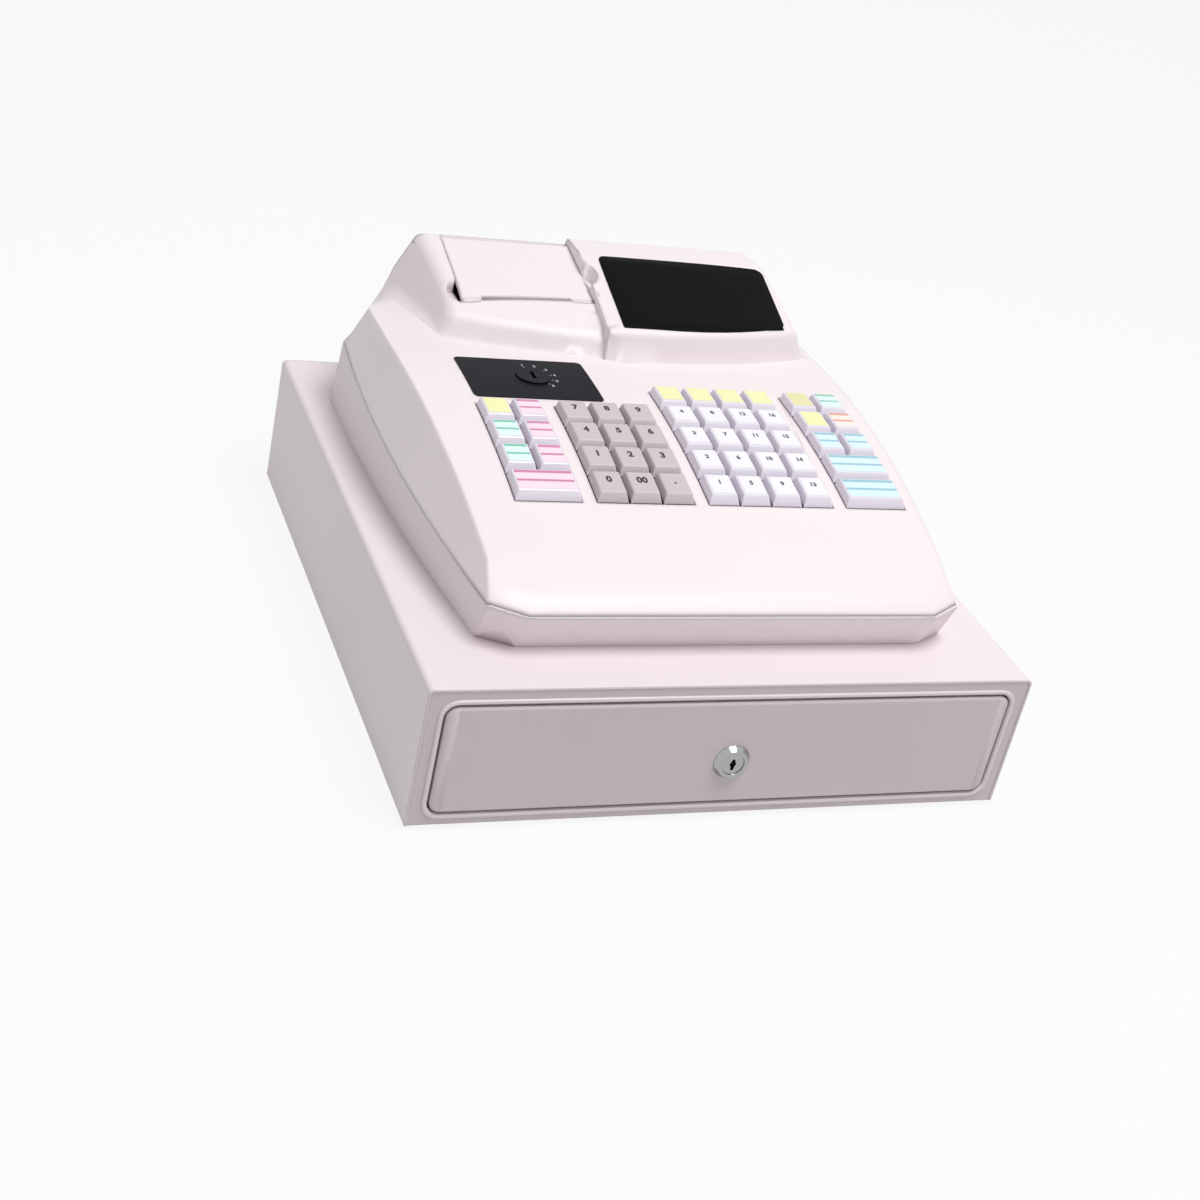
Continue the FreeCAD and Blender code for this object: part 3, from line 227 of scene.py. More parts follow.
CASE_COLOUR = srgb(240, 230, 232)
case_plastic = finish("case_plastic", CASE_COLOUR, 0.42, grain=0.2, soft_edge=0.003)
lower_plastic = finish("lower_case_plastic", srgb(238, 228, 229), 0.45, grain=0.2,
                       soft_edge=0.0015)
cabinet_paint = finish("cabinet_paint", srgb(236, 225, 229), 0.38, grain=0.15,
                       grain_size=0.0012, soft_edge=0.0022)
frame_plastic = finish("frame_plastic", srgb(210, 198, 201), 0.42, grain=0.15,
                       soft_edge=0.0012)
drawer_paint = finish("drawer_paint", srgb(196, 192, 194), 0.4, grain=0.1)
print("case colour", [round(c, 3) for c in CASE_COLOUR])

# %% [markdown]
# The rest of the finishes are the hardware: zinc-plated and bright steel, chrome on
# the lock, black plastics inside, rubber on the feet and the platen, and the dark
# tinted windows. The same helper makes them, with other numbers.

# %% Hardware finishes
zinc = finish("zinc_steel", (0.62, 0.63, 0.65), 0.35, grain=0.2, metallic=1.0)
chrome = finish("chrome", (0.40, 0.40, 0.41), 0.14, metallic=1.0, soft_edge=0.0005)
steel = finish("steel", (0.60, 0.60, 0.61), 0.28, grain=0.15, metallic=1.0)
foot_rubber = finish("foot_rubber", (0.02, 0.02, 0.02), 0.8, grain=0.4)
roller_rubber = finish("roller_rubber", (0.03, 0.03, 0.032), 0.6, grain=0.3)
black_plastic = finish("black_plastic", srgb(25, 25, 31), 0.45, grain=0.12, shine=0.06)
tray_plastic = finish("tray_plastic", (0.045, 0.045, 0.05), 0.45, grain=0.25)
window_tint = finish("window_tint", srgb(12, 12, 14), 0.12, grain=0.01, shine=0.035)
print("finishes so far", len(bpy.data.materials))

# %% [markdown]
# A till roll shows its winding on the end faces as fine rings round the core. A
# Wave texture in ring mode draws them: a Mapping node first moves its middle to the
# roll's axis, and the rings only tint the paper a little.

# %% Paper with winding rings
def wound_paper(centre):
    material = finish("till_paper", (0.86, 0.86, 0.85), 0.75, grain=0.1)
    nodes, links = material.node_tree.nodes, material.node_tree.links
    place = nodes.new("ShaderNodeTexCoord")
    shift = nodes.new("ShaderNodeMapping")
    shift.inputs["Location"].default_value = [-c for c in centre]
    rings = nodes.new("ShaderNodeTexWave")
    rings.wave_type = "RINGS"
    rings.rings_direction = "X"
    rings.inputs["Scale"].default_value = 260.0
    tint = nodes.new("ShaderNodeMix")
    tint.data_type = "RGBA"
    tint.blend_type = "MULTIPLY"
    tint.inputs["Factor"].default_value = 1.0
    soften = nodes.new("ShaderNodeMapRange")
    soften.inputs["To Min"].default_value = 0.82
    links.new(place.outputs["Object"], shift.inputs["Vector"])
    links.new(shift.outputs["Vector"], rings.inputs["Vector"])
    links.new(rings.outputs["Fac"], soften.inputs["Value"])
    base = nodes["Principled BSDF"].inputs["Base Color"]
    links.new(base.links[0].from_socket, tint.inputs["A"])
    links.new(soften.outputs["Result"], tint.inputs["B"])
    links.new(tint.outputs["Result"], base)
    return material


roll_low, roll_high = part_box("paper_roll")
paper = wound_paper((roll_low + roll_high) / 2)
print("paper roll", round((roll_high - roll_low).y * 1000, 1), "mm across")

# %% [markdown]
# A CAD part arrives as loose triangles with flat faces, so a moulded curve would
# show its facets. A copy of the mesh is merged and shaded smooth, only edges over
# 18 degrees stay sharp, and the Weighted Normal modifier lets the big flat faces
# keep their own direction. The copy stands for the part and rides on its body.

# %% Smooth copies of the CAD parts
FINISH_OF_SLOT = {
    "case_plastic": case_plastic, "lower_case_plastic": lower_plastic,
    "cabinet_paint": cabinet_paint, "frame_plastic": frame_plastic,
    "drawer_paint": drawer_paint, "zinc_steel": zinc, "chrome": chrome, "steel": steel,
    "foot_rubber": foot_rubber, "roller_rubber": roller_rubber,
    "black_plastic": black_plastic, "tray_plastic": tray_plastic,
    "window_tint": window_tint, "paper": paper,
}
SLOT_OF = {s["node"]: s["material_slot"] for s in frame["record"]["subparts"]}
BODY_OF = {node: body for body, nodes in frame["record"]["behaviour"]["bodies"].items()
           for node in nodes}
MERGE_DISTANCE = 1e-6
PART_SHARP_OVER = 18


def add_piece(name, mesh, body, node=None):
    """Put a finished mesh in the scene, on its body, instead of a node if one is named."""
    piece = bpy.data.objects.new(name, mesh)
    bpy.context.scene.collection.objects.link(piece)
    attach(piece, body)
    if node:
        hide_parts(node)
    return piece


def smooth_mesh(name, bm, materials, sharp_over):
    """A smooth mesh from the bmesh; edges over so many degrees stay sharp."""
    mesh = bpy.data.meshes.new(name)
    bm.to_mesh(mesh)
    bm.free()
    mesh.shade_smooth()
    mesh.set_sharp_from_angle(angle=math.radians(sharp_over))
    for material in materials:
        mesh.materials.append(material)
    return mesh


def let_flat_faces_lead(piece):
    weight = piece.modifiers.new("flat_faces_lead", "WEIGHTED_NORMAL")
    weight.keep_sharp = True


def smooth_part(node):
    """A merged and smooth copy of a CAD part, standing for it on its body."""
    bm = bmesh.new()
    bm.from_mesh(frame["nodes"][node].data)
    bmesh.ops.remove_doubles(bm, verts=bm.verts, dist=MERGE_DISTANCE)
    material = FINISH_OF_SLOT[SLOT_OF[node]]
    mesh = smooth_mesh(node + "_skin", bm, [material], PART_SHARP_OVER)
    let_flat_faces_lead(add_piece(mesh.name, mesh, BODY_OF[node], node))


part_nodes = [name for name in frame["nodes"] if not name.startswith("key_")]
for name in part_nodes:
    smooth_part(name)
print("smooth parts", len(part_nodes))

# %% [markdown]
# The keys stand on a crowned deck, so each one leans a little more than the one
# behind it. The crown is one circle seen from the side, and the first row starts
# FRONT_REACH in front of its highest line. A key is drawn upright at the origin and
# then carried to its place by one matrix: a lean about X, and a move to the point of
# the circle at the key's distance along the crown.

# %% Places of the keys
CROWN_R = 0.549
CROWN_Y = 0.049
CROWN_TOP = 0.1443
FRONT_REACH = 0.129
FIRST_ROW_LEAN = math.asin(FRONT_REACH / CROWN_R)
KEY_PITCH_X = 0.0185
KEY_PITCH_Y = 0.0212
BLOCK_LEFT = {"left": -0.104, "number": -0.0595, "department": 0.0035, "right": 0.085}


def crown_frame(x, lean, lift=0.0):
    """Matrix of a spot on the crown, its Z along the surface's normal."""
    reach = CROWN_R + lift
    spot = Vector((x, CROWN_Y - reach * math.sin(lean),
                   CROWN_TOP - CROWN_R + reach * math.cos(lean)))
    return Matrix.Translation(spot) @ Matrix.Rotation(lean, 4, "X")


def key_place(block, column, row, columns=1):
    """Matrix of a key: the middle of its columns, half a pitch into its row."""
    x = BLOCK_LEFT[block] + (column + columns / 2) * KEY_PITCH_X
    return crown_frame(x, FIRST_ROW_LEAN - (row + 0.5) * KEY_PITCH_Y / CROWN_R)


print("first row leans", round(math.degrees(FIRST_ROW_LEAN), 1), "degrees")

# %% [markdown]
# A keycap is a box whose top is smaller than its foot, with every corner rounded by
# the mould. One box gives the skirt, its top face is extruded upwards and scaled
# down for the taper, and a three-step bevel rounds the slanted corners and the rim.
# The skirt goes down into the deck's opening, where little light reaches it, and that
# shade is painted on it as a darker material, so the joints between the caps read as lines.

# %% One keycap
SKIRT_SHADE_MATERIAL = 3
KEY_GAP = 0.0012
CAP_H = 0.0045
CAP_TOP_W = 0.0144
CAP_TOP_L = 0.0160
CAP_SKIRT = 0.0036
CAP_BACK = 0.0016
CAP_ROUND = 0.0008
SKIRT_SHADE_START = -0.0005


def moved(bm, made, matrix):
    """Carry the vertices just made to their place."""
    bmesh.ops.transform(bm, matrix=matrix, verts=made)


def add_keycap(bm, columns, place):
    """A cap so many columns wide, its skirt below z = 0 and its top towards the back."""
    width = columns * KEY_PITCH_X - KEY_GAP
    length = KEY_PITCH_Y - KEY_GAP
    before = set(bm.verts)
    bmesh.ops.create_cube(bm, size=1.0)
    skirt = [v for v in bm.verts if v not in before]
    bmesh.ops.scale(bm, vec=(width, length, CAP_SKIRT), verts=skirt)
    bmesh.ops.translate(bm, vec=(0, 0, -CAP_SKIRT / 2), verts=skirt)
    top = max((f for f in bm.faces if f.verts[0] in skirt),
              key=lambda f: f.calc_center_median().z)
    raised = bmesh.ops.extrude_face_region(bm, geom=[top])["geom"]
    bmesh.ops.delete(bm, geom=[top], context="FACES_ONLY")
    rim = [v for v in raised if isinstance(v, bmesh.types.BMVert)]
    taper = (1 - (KEY_PITCH_X - KEY_GAP - CAP_TOP_W) / width, CAP_TOP_L / length, 1)
    bmesh.ops.scale(bm, vec=taper, verts=rim)
    bmesh.ops.translate(bm, vec=(0, CAP_BACK, CAP_H), verts=rim)
    slants = [e for e in bm.edges if e.verts[0] in rim or e.verts[1] in rim]
    bmesh.ops.bevel(bm, geom=slants, offset=CAP_ROUND, segments=3, profile=0.5,
                    affect="EDGES", material=-1)
    made = [v for v in bm.verts if v not in before]
    # The skirt's faces below the deck take the darker material: painted shade.
    for face in {f for v in made for f in v.link_faces}:
        if face.calc_center_median().z < SKIRT_SHADE_START:
            face.material_index = SKIRT_SHADE_MATERIAL
    moved(bm, made, place)


print("cap tops", CAP_TOP_W * 1000, "x", CAP_TOP_L * 1000, "mm")

# %% [markdown]
# Plain figures are printed on the keys and round the mode switch. A text curve
# gives each figure, a hair thick so that it stands just proud of the plastic. It is
# turned into a mesh at once, laid flat, and joined into the piece that carries it.

# %% Printed figures
FIGURE_SHARE = 0.72
FIGURE_WEIGHT = 0.07
FIGURE_THICK = 0.00004


def add_print(bm, text, height, place, material_index):
    """One line of print; FIGURE_SHARE is a figure's height as a share of the font size."""
    curve = bpy.data.curves.new("figure", "FONT")
    curve.body = text
    curve.size = height / FIGURE_SHARE
    curve.offset = FIGURE_WEIGHT * height
    curve.extrude = FIGURE_THICK
    curve.resolution_u = 4
    curve.align_x = "CENTER"
    curve.align_y = "CENTER"
    holder = bpy.data.objects.new("figure", curve)
    bpy.context.scene.collection.objects.link(holder)
    bpy.context.view_layer.update()
    mesh = bpy.data.meshes.new_from_object(holder.evaluated_get(
        bpy.context.evaluated_depsgraph_get()))
    faces_before = set(bm.faces)
    before = set(bm.verts)
    bm.from_mesh(mesh)
    for face in bm.faces:
        if face not in faces_before:
            face.material_index = material_index
    moved(bm, [v for v in bm.verts if v not in before], place)
    bpy.data.objects.remove(holder)
    bpy.data.curves.remove(curve)
    bpy.data.meshes.remove(mesh)


print("figures are made with the built-in font")

# %% [markdown]
# The function keys are clear caps over a paper card, printed with two bands of
# colour. The caps here aren't see-through, so the card is one thin plate a hair proud
# of the cap's top. It is cut across by bisect_plane at the bands' edges, and the faces
# between the cuts take the ink, so the bands lie exactly in the card.

# %% Label card with two bands
CARD_MARGIN = 0.0010
CARD_PROUD = 0.00012
CARD_THICK = 0.0004
BANDS = ((0.84, 0.99), (0.38, 0.50))


def cut_new_faces(bm, faces_before, spot, across):
    """Cut the faces made since faces_before was noted along one plane."""
    faces = [f for f in bm.faces if f not in faces_before]
    edges = dict.fromkeys(e for f in faces for e in f.edges)
    verts = dict.fromkeys(v for f in faces for v in f.verts)
    bmesh.ops.bisect_plane(bm, geom=[*faces, *edges, *verts], plane_co=spot, plane_no=across)


def add_card(bm, columns, place, field_index, band_index=None):
    """A card in the cap's top; BANDS are shares of its length from the front."""
    width = (columns - 1) * KEY_PITCH_X + CAP_TOP_W - 2 * CARD_MARGIN
    length = CAP_TOP_L - 2 * CARD_MARGIN
    before = set(bm.verts)
    faces_before = set(bm.faces)
    bmesh.ops.create_cube(bm, size=1.0)
    card = [v for v in bm.verts if v not in before]
    bmesh.ops.scale(bm, vec=(width, length, CARD_THICK), verts=card)
    card_middle = (0, CAP_BACK, CAP_H + CARD_PROUD - CARD_THICK / 2)
    bmesh.ops.translate(bm, vec=card_middle, verts=card)
    front = CAP_BACK - length / 2
    if band_index is not None:
        for share in [edge for band in BANDS for edge in band]:
            cut_new_faces(bm, faces_before, (0, front + share * length, 0), (0, 1, 0))
    for face in [f for f in bm.faces if f not in faces_before]:
        share = (face.calc_center_median().y - front) / length
        inked = band_index is not None and any(a < share < b for a, b in BANDS)
        face.material_index = band_index if inked else field_index
    moved(bm, [v for v in bm.verts if v not in before], place)


print("card bands at", BANDS)

# %% [markdown]
# Clear keys look pale lilac at their bevels, because the light that enters them
# leaves through the edges. A glossy coat over a pale colour gives that without the
# cost of tracing light through all the caps. The cards and the bands' inks lie under
# the same gloss, so they have a coat too.

# %% Key finishes
clear_cap = finish("clear_key_plastic", srgb(229, 223, 234), 0.2, coat=0.2)
grey_cap = finish("grey_key_plastic", srgb(201, 190, 196), 0.42, grain=0.15)
black_ink = finish("black_ink", srgb(38, 36, 40), 0.5)
# The skirts' darker greys are painted shade for the dim openings in the deck.
grey_skirt_painted_shade = finish("grey_key_skirt_painted_shade", srgb(92, 84, 88), 0.6)
clear_skirt_painted_shade = finish("clear_key_skirt_painted_shade", srgb(140, 135, 146), 0.6)
grey_ink = finish("grey_ink", srgb(70, 68, 74), 0.5)
CARD_COLOURS = {
    "white": srgb(240, 239, 244), "pink": srgb(250, 222, 234), "aqua": srgb(222, 247, 243),
    "sky": srgb(218, 242, 250), "cream": srgb(252, 234, 226), "yellow": srgb(242, 241, 178),
    "straw": srgb(230, 224, 168),
    "pink_band": srgb(206, 130, 168), "green_band": srgb(132, 198, 178),
    "blue_band": srgb(150, 196, 214), "orange_band": srgb(222, 150, 130),
}
PRINTS = {name: finish("print_" + name, colour, 0.3, coat=0.3)
          for name, colour in CARD_COLOURS.items()}
print("cards and inks", len(PRINTS))

# %% [markdown]
# The number keys are plain grey caps with a small dark figure above the middle. All
# twelve come from one list of rows. Every key lists four materials, in this order:
# the cap, two prints and the skirt's painted shade. A number key has one ink, so it's listed
# twice.

# %% Number keys
NUMBER_ROWS = (("0", "00", "point"), ("1", "2", "3"), ("4", "5", "6"), ("7", "8", "9"))
NUMBER_HEIGHT = 0.0044
NUMBER_BACK = 0.0014
KEY_SHARP_OVER = 28


def key_piece(node, materials, build):
    """A key: build() fills the bmesh, and the piece stands for its node."""
    bm = bmesh.new()
    build(bm)
    bmesh.ops.recalc_face_normals(bm, faces=bm.faces)
    mesh = smooth_mesh(node.replace("key_", "cap_"), bm, materials, KEY_SHARP_OVER)
    let_flat_faces_lead(add_piece(mesh.name, mesh, BODY_OF[node], node))


def above_cap(place, back, lift=0.0):
    """Matrix of a spot on a cap's top, so far back from the top's middle."""
    return place @ Matrix.Translation((0, CAP_BACK + back, CAP_H + lift))


for row, names in enumerate(NUMBER_ROWS):
    for column, name in enumerate(names):
        place = key_place("number", column, row)

        def build(bm):
            add_keycap(bm, 1, place)
            figure = "." if name == "point" else name
            add_print(bm, figure, NUMBER_HEIGHT, above_cap(place, NUMBER_BACK), 1)

        key_piece("key_number_" + name, [grey_cap, black_ink, black_ink, grey_skirt_painted_shade], build)
print("number keys made", sum(len(names) for names in NUMBER_ROWS))

# %% [markdown]
# The sixteen department keys stand in four columns, and each column is one part of
# the model. Their cards are white with a small number, counted up the first column
# and on through the others.

# %% Department keys
DEPARTMENTS = 4
DEPARTMENT_ROWS = 4
DEPARTMENT_HEIGHT = 0.0030
DEPARTMENT_BACK = 0.0016
for column in range(DEPARTMENTS):
    def build(bm):
        for row in range(DEPARTMENT_ROWS):
            place = key_place("department", column, row)
            add_keycap(bm, 1, place)
            add_card(bm, 1, place, 1)
            number = str(DEPARTMENT_ROWS * column + row + 1)
            add_print(bm, number, DEPARTMENT_HEIGHT,
                      above_cap(place, DEPARTMENT_BACK, CARD_PROUD), 2)

    key_piece("key_department_column_%d" % (column + 1),
              [clear_cap, PRINTS["white"], grey_ink, clear_skirt_painted_shade], build)
print("department keys made", DEPARTMENTS * DEPARTMENT_ROWS)

# %% [markdown]
# The other clear keys carry coloured cards. A short table names each key's block,
# column, row, width in columns, card and the ink of its bands; a key with one plain
# colour has no band.

# %% Function keys
FUNCTION_KEYS = (
    ("key_left_wide", "left", 0, 0, 2, "pink", "pink_band"),
    ("key_left_row1_1", "left", 0, 1, 1, "aqua", "green_band"),
    ("key_left_row1_2", "left", 1, 1, 1, "pink", "pink_band"),
    ("key_left_row2_1", "left", 0, 2, 1, "aqua", "green_band"),
    ("key_left_row2_2", "left", 1, 2, 1, "pink", "pink_band"),
    ("key_left_row3_1", "left", 0, 3, 1, "yellow", None),
    ("key_left_row3_2", "left", 1, 3, 1, "pink", "pink_band"),
    ("key_top_1", "department", 0, 4, 1, "yellow", None),
    ("key_top_2", "department", 1, 4, 1, "yellow", None),
    ("key_top_3", "department", 2, 4, 1, "yellow", None),
    ("key_top_4", "department", 3, 4, 1, "yellow", None),
    ("key_right_wide_1", "right", 0, 0, 2, "sky", "blue_band"),
    ("key_right_wide_2", "right", 0, 1, 2, "sky", "blue_band"),
    ("key_right_row2_1", "right", 0, 2, 1, "sky", "blue_band"),
    ("key_right_row2_2", "right", 1, 2, 1, "sky", "blue_band"),
    ("key_right_row3_1", "right", 0, 3, 1, "yellow", None),
    ("key_right_row3_2", "right", 1, 3, 1, "cream", "orange_band"),
    ("key_right_row4_1", "right", 0, 4, 1, "straw", None),
    ("key_right_row4_2", "right", 1, 4, 1, "aqua", "green_band"),
)
for node, block, column, row, columns, card, band in FUNCTION_KEYS:
    place = key_place(block, column, row, columns)

    def build(bm):
        add_keycap(bm, columns, place)
        add_card(bm, columns, place, 1, 2 if band else None)

    key_piece(node, [clear_cap, PRINTS[card], PRINTS[band or card], clear_skirt_painted_shade], build)
print("function keys made", len(FUNCTION_KEYS))

# %% [markdown]
# Round the key switch the black plate carries six ticks and six plain numbers, one for
# each stop of the switch. The plate is bent to the crown, so every mark gets its own
# place on it: the same crown matrix as the keys, with the mark turned about its Z.

# %% Ticks and numbers round the switch
SWITCH_X = -0.0615
SWITCH_Y = 0.036
SWITCH_STOPS = (-10, 20, 50, 80, 110, 140)
TICK_RADIUS = 0.0113
STOP_RADIUS = 0.0137
STOP_HEIGHT = 0.0021
TICK_SIZE = (0.0004, 0.0013, 0.00008)
PLATE_TOP = 0.00043
plate_print = finish("plate_print", srgb(176, 176, 182), 0.5)


def on_plate(radius, turn):
    """Matrix of a spot on the plate, a clockwise turn away from the rear."""
    x = SWITCH_X + radius * math.sin(turn)
    y = SWITCH_Y + radius * math.cos(turn)
    return crown_frame(x, math.asin((CROWN_Y - y) / CROWN_R), PLATE_TOP)


bm = bmesh.new()
for step, angle in enumerate(SWITCH_STOPS):
    turn = math.radians(angle)
    before = set(bm.verts)
    bmesh.ops.create_cube(bm, size=1.0)
    tick = [v for v in bm.verts if v not in before]
    bmesh.ops.scale(bm, vec=TICK_SIZE, verts=tick)
    moved(bm, tick, on_plate(TICK_RADIUS, turn) @ Matrix.Rotation(-turn, 4, "Z"))
    add_print(bm, str(step + 1), STOP_HEIGHT, on_plate(STOP_RADIUS, turn), 0)
mesh = bpy.data.meshes.new("switch_marks")
bm.to_mesh(mesh)
bm.free()
mesh.materials.append(plate_print)
add_piece("switch_marks", mesh, "register")
print("switch stops", len(SWITCH_STOPS))

# %% [markdown]
# Some pieces lie on the moulded head like a sheet of foil. Each starts as a flat
# rectangle seen from above. Its corner vertices are bevelled to round them, planes
# cut it into strips so that it can bend, and a ray sent straight down from every
# vertex finds the surface that it has to lie on. Solidify gives it its thickness.

# %% Sheets laid on the head
CLEAR_ABOVE = 0.3
SHEET_SHARP_OVER = 40


def surface_tree(*nodes):
    bm = bmesh.new()
    for node in nodes:
        bm.from_mesh(frame["nodes"][node].data)
    tree = BVHTree.FromBMesh(bm)
    bm.free()
    return tree


head_surface = surface_tree("upper_case", "display_lens", "printer_cover")


def rounded_sheet(left, right, front, rear, radii):
    """A flat sheet, its corners (front left, front right, rear right, rear left) rounded."""
    bm = bmesh.new()
    bmesh.ops.create_grid(bm, x_segments=1, y_segments=1, size=0.5)
    for vertex in bm.verts:
        vertex.co.x = left if vertex.co.x < 0 else right
        vertex.co.y = front if vertex.co.y < 0 else rear
    corners = ((left, front), (right, front), (right, rear), (left, rear))
    for (x, y), radius in zip(corners, radii):
        corner = min(bm.verts, key=lambda v: (v.co - Vector((x, y, 0))).length)
        bmesh.ops.bevel(bm, geom=[corner], offset=radius, segments=6, profile=0.5,
                        affect="VERTICES", material=-1)
    return bm


def cut_in_strips(bm, axis, low, high, pieces):
    """Cut the whole sheet in equal strips across axis 0 or 1."""
    for step in range(1, pieces):
        spot, across = Vector(), Vector()
        spot[axis] = low + (high - low) * step / pieces
        across[axis] = 1.0
        bmesh.ops.bisect_plane(bm, geom=bm.verts[:] + bm.edges[:] + bm.faces[:],
                               plane_co=spot, plane_no=across)


def head_height(x, y, reach=0.00025):
    """Height of the head at a spot; four rays round it step over the narrow joints."""
    down = Vector((0, 0, -1))
    spots = [(x + dx, y + dy) for dx in (-reach, reach) for dy in (-reach, reach)]
    return max(head_surface.ray_cast(Vector((*spot, CLEAR_ABOVE)), down)[0].z
               for spot in spots)


def lay_on_head(bm, lift, thick, bridge=None):
    """Drop the sheet on the head, or between two lines of it (their y) across a joint."""
    for vertex in bm.verts:
        x, y = vertex.co.x, vertex.co.y
        if bridge:
            near, far = (head_height(x, side) for side in bridge)
            share = (y - bridge[0]) / (bridge[1] - bridge[0])
            vertex.co.z = near + (far - near) * share + lift
        else:
            vertex.co.z = head_height(x, y) + lift
    bmesh.ops.recalc_face_normals(bm, faces=bm.faces)
    if bm.faces[0].normal.z < 0:
        bmesh.ops.reverse_faces(bm, faces=bm.faces)
    bmesh.ops.solidify(bm, geom=bm.faces[:], thickness=thick)
    bmesh.ops.recalc_face_normals(bm, faces=bm.faces)


def mesh_piece(name, bm, material, body, sharp_over=SHEET_SHARP_OVER):
    """Put a new piece in the scene that stands for no part of the model."""
    add_piece(name, smooth_mesh(name, bm, [material], sharp_over), body)


print("head surface ready")

# %% [markdown]
# The display's filter is a dark glossy sheet stuck over its window, a little larger
# than the window itself, with three round corners and a sharp one at the front left.
# Its front edge follows the bowed front of the head.

# %% Dark sheet over the display
WINDOW = {"left": 0.0010, "right": 0.1102, "front": 0.0690, "rear": 0.1308}
WINDOW_CORNERS = (0.0010, 0.0050, 0.0060, 0.0050)
BOW_START = 0.030
BOW_CURVE = 2.0
bm = rounded_sheet(**WINDOW, radii=WINDOW_CORNERS)
cut_in_strips(bm, 0, WINDOW["left"], WINDOW["right"], 24)
cut_in_strips(bm, 1, WINDOW["front"], WINDOW["rear"], 30)
window_length = WINDOW["rear"] - WINDOW["front"]
for vertex in bm.verts:
    to_front = (WINDOW["rear"] - vertex.co.y) / window_length
    vertex.co.y += BOW_CURVE * max(0.0, vertex.co.x - BOW_START) ** 2 * to_front
lay_on_head(bm, lift=0.0004, thick=0.0007)
mesh_piece("display_filter", bm, window_tint, "register")
print("filter", round((WINDOW["right"] - WINDOW["left"]) * 1000), "mm wide")

# %% [markdown]
# The printer cover closes flush with the case. A thin lap on its front edge lies over
# the joint, left and right of the slot, so that only the slot shows. Along the slot
# lies the cutter strip, the bar that the receipt is torn on. The head is a little
# lower towards its left side, and the strip slopes with it.

# %% Cover laps and cutter strip
LAP_FRONT, LAP_REAR = 0.0950, 0.0982
LAP_CORNER = 0.0006
LAP_BRIDGE = (0.0940, 0.0985)
STRIP_SIZE = (0.0538, 0.0028, 0.0010)
STRIP_MIDDLE = (-0.0500, 0.0980, 0.1640)
STRIP_SLOPE = math.atan2(0.0022, 0.054)
STRIP_ROUND = 0.0002


def cover_lap(name, left, right):
    bm = rounded_sheet(left, right, LAP_FRONT, LAP_REAR, (LAP_CORNER,) * 4)
    cut_in_strips(bm, 0, left, right, 6)
    cut_in_strips(bm, 1, LAP_FRONT, LAP_REAR, 3)
    lay_on_head(bm, lift=0.00025, thick=0.0002, bridge=LAP_BRIDGE)
    mesh_piece(name, bm, case_plastic, "printer_cover")


cover_lap("cover_lap_left", -0.0880, -0.0778)
cover_lap("cover_lap_right", -0.0222, -0.0072)

cutter_grey = finish("cutter_strip", srgb(158, 149, 150), 0.4, grain=0.1, shine=0.2)
bm = bmesh.new()
bmesh.ops.create_cube(bm, size=1.0)
bmesh.ops.scale(bm, vec=STRIP_SIZE, verts=bm.verts)
bmesh.ops.bevel(bm, geom=bm.edges[:], offset=STRIP_ROUND, segments=2, profile=0.5,
                affect="EDGES", material=-1)
moved(bm, bm.verts[:], Matrix.Translation(STRIP_MIDDLE) @ Matrix.Rotation(-STRIP_SLOPE, 4, "Y"))
mesh_piece("cutter_strip", bm, cutter_grey, "printer_cover")
print("cutter strip", STRIP_SIZE[0] * 1000, "mm long")

# %% [markdown]
# A raised bead runs round the drawer's opening and catches the light above and below
# the panel. It is a flat ring first: a rectangle with bevelled corners, inset by the
# bead's width, its middle deleted. The ring is extruded, a bevel on the edges round
# its top makes that soft, and one turn about X stands it up with its foot sunk in the
# frame.

# %% Bead round the drawer
BEAD_HALF_SPAN = 0.1584
BEAD_LOW, BEAD_HIGH = 0.0066, 0.0750
BEAD_CORNER = 0.0098
BEAD_WIDTH = 0.0024
BEAD_PROUD = 0.0011
BEAD_SUNK = 0.0006
BEAD_ROUND = 0.0009
BEAD_FOOT_Y = -0.1749
bm = rounded_sheet(-BEAD_HALF_SPAN, BEAD_HALF_SPAN, BEAD_LOW, BEAD_HIGH, (BEAD_CORNER,) * 4)
bmesh.ops.inset_region(bm, faces=bm.faces[:], thickness=BEAD_WIDTH, use_even_offset=True,
                       use_boundary=True)
middle = max(bm.faces, key=lambda f: f.calc_area())
bmesh.ops.delete(bm, geom=[middle], context="FACES")
ring = bmesh.ops.extrude_face_region(bm, geom=bm.faces[:])["geom"]
raised = [v for v in ring if isinstance(v, bmesh.types.BMVert)]
bmesh.ops.translate(bm, vec=(0, 0, BEAD_SUNK + BEAD_PROUD), verts=raised)
bmesh.ops.recalc_face_normals(bm, faces=bm.faces)
top_rim = [e for e in bm.edges if all(v.co.z > BEAD_SUNK for v in e.verts)
           and len(e.link_faces) == 2
           and abs(e.link_faces[0].normal.z - e.link_faces[1].normal.z) > 0.5]
bmesh.ops.bevel(bm, geom=top_rim, offset=BEAD_ROUND, segments=4, profile=0.5, affect="EDGES",
                material=-1)
upright = Matrix.Translation((0, BEAD_FOOT_Y, 0)) @ Matrix.Rotation(math.radians(90), 4, "X")
moved(bm, bm.verts[:], upright)
bead_plastic = finish("bead_plastic", srgb(228, 217, 220), 0.3, grain=0.05)
mesh_piece("drawer_bead", bm, bead_plastic, "register", sharp_over=50)
print("bead", BEAD_WIDTH * 1000, "mm wide")

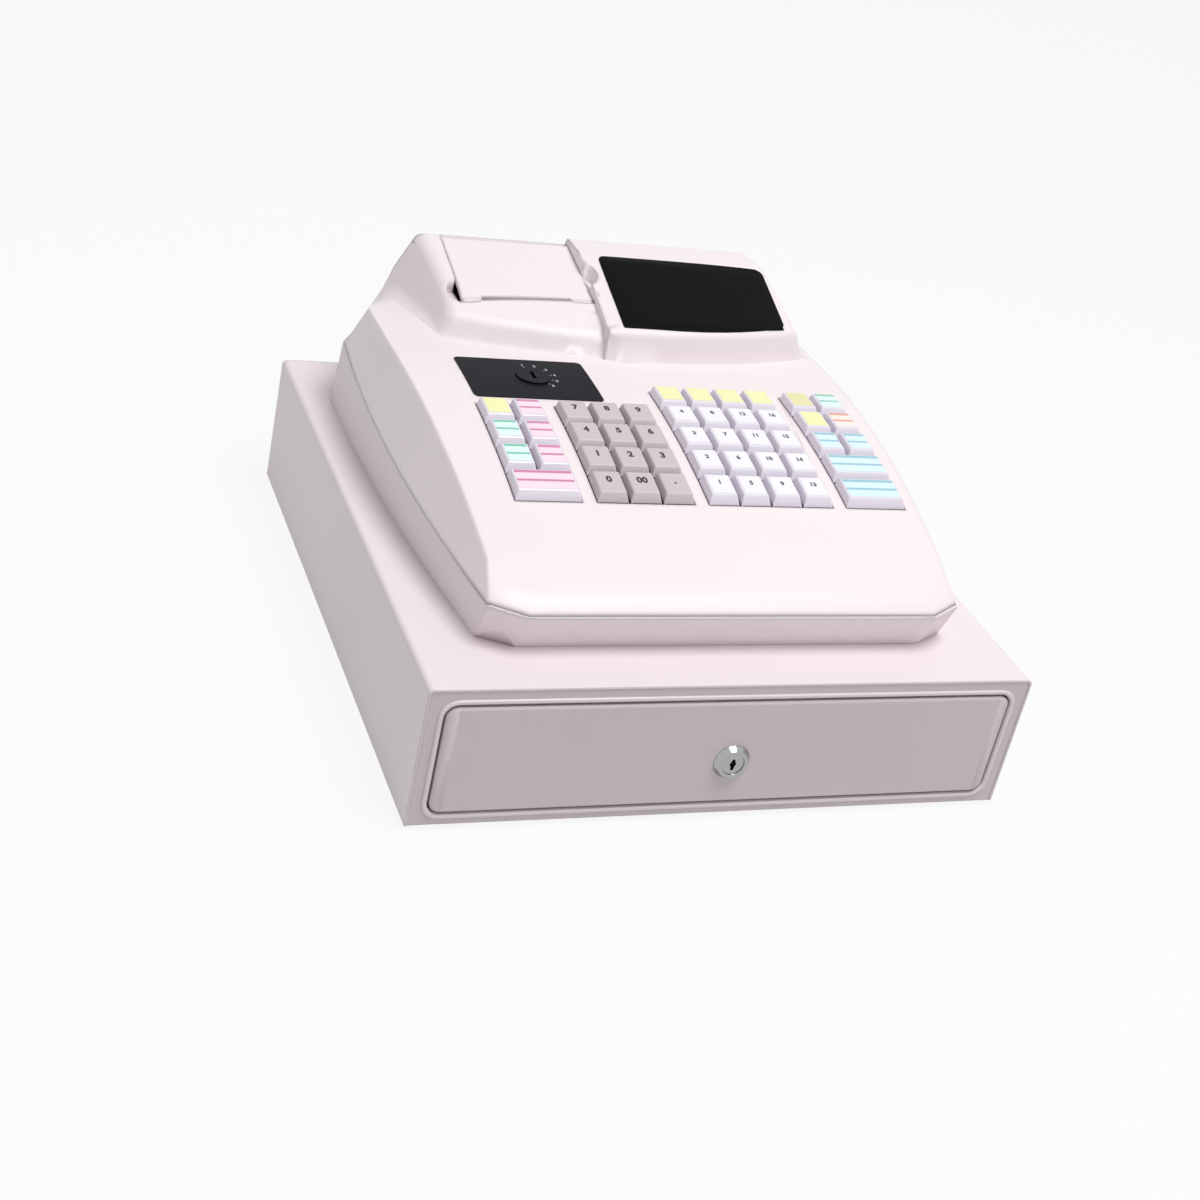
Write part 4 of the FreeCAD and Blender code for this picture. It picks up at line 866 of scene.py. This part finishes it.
# %% [markdown]
# Screws hold the case at the back. A screw is a short cylinder with a rounded rim. Two
# planes cut its top into three strips, and the middle one is pushed down as the slot.
# A ray from outside finds the wall, and the screw stands along the wall's normal.

# %% Screws on the back
SCREW_RADIUS = 0.0025
SCREW_PROUD = 0.0008
SCREW_ROUND = 0.0004
SLOT_HALF = 0.0004
SLOT_DEEP = 0.0006
SCREW_PAIRS = ((0.104, 0.100), (0.150, 0.066), (0.150, 0.020))
CLEAR_BEHIND = 0.4


def add_screw(bm, place):
    """A slotted screw, half of its cylinder below z = 0."""
    before = set(bm.verts)
    faces_before = set(bm.faces)
    bmesh.ops.create_cone(bm, cap_ends=True, segments=24, radius1=SCREW_RADIUS,
                          radius2=SCREW_RADIUS, depth=2 * SCREW_PROUD)
    top = next(f for f in bm.faces if f not in faces_before and f.normal.z > 0.9)
    bmesh.ops.bevel(bm, geom=top.edges[:], offset=SCREW_ROUND, segments=2, profile=0.5,
                    affect="EDGES", material=-1)
    for side in (-SLOT_HALF, SLOT_HALF):
        cut_new_faces(bm, faces_before, (side, 0, 0), (1, 0, 0))
    slot = [f for f in bm.faces if f not in faces_before and f.normal.z > 0.9
            and abs(f.calc_center_median().x) < SLOT_HALF]
    pushed = bmesh.ops.extrude_face_region(bm, geom=slot)["geom"]
    bmesh.ops.delete(bm, geom=slot, context="FACES_ONLY")
    bmesh.ops.translate(bm, vec=(0, 0, -SLOT_DEEP),
                        verts=[v for v in pushed if isinstance(v, bmesh.types.BMVert)])
    moved(bm, [v for v in bm.verts if v not in before], place)


rear_walls = surface_tree("upper_case", "lower_case", "cabinet_shell")
bm = bmesh.new()
screw_spots = [(side * x, z) for x, z in SCREW_PAIRS for side in (-1, 1)]
for x, z in screw_spots:
    outside = Vector((x, CLEAR_BEHIND, z))
    spot, normal, _, _ = rear_walls.ray_cast(outside, Vector((0, -1, 0)))
    if normal.y < 0:
        normal = -normal
    turn = normal.to_track_quat("Z", "X").to_matrix().to_4x4()
    add_screw(bm, Matrix.Translation(spot) @ turn)
mesh_piece("rear_screws", bm, steel, "register")
print("screws on the back", len(screw_spots))
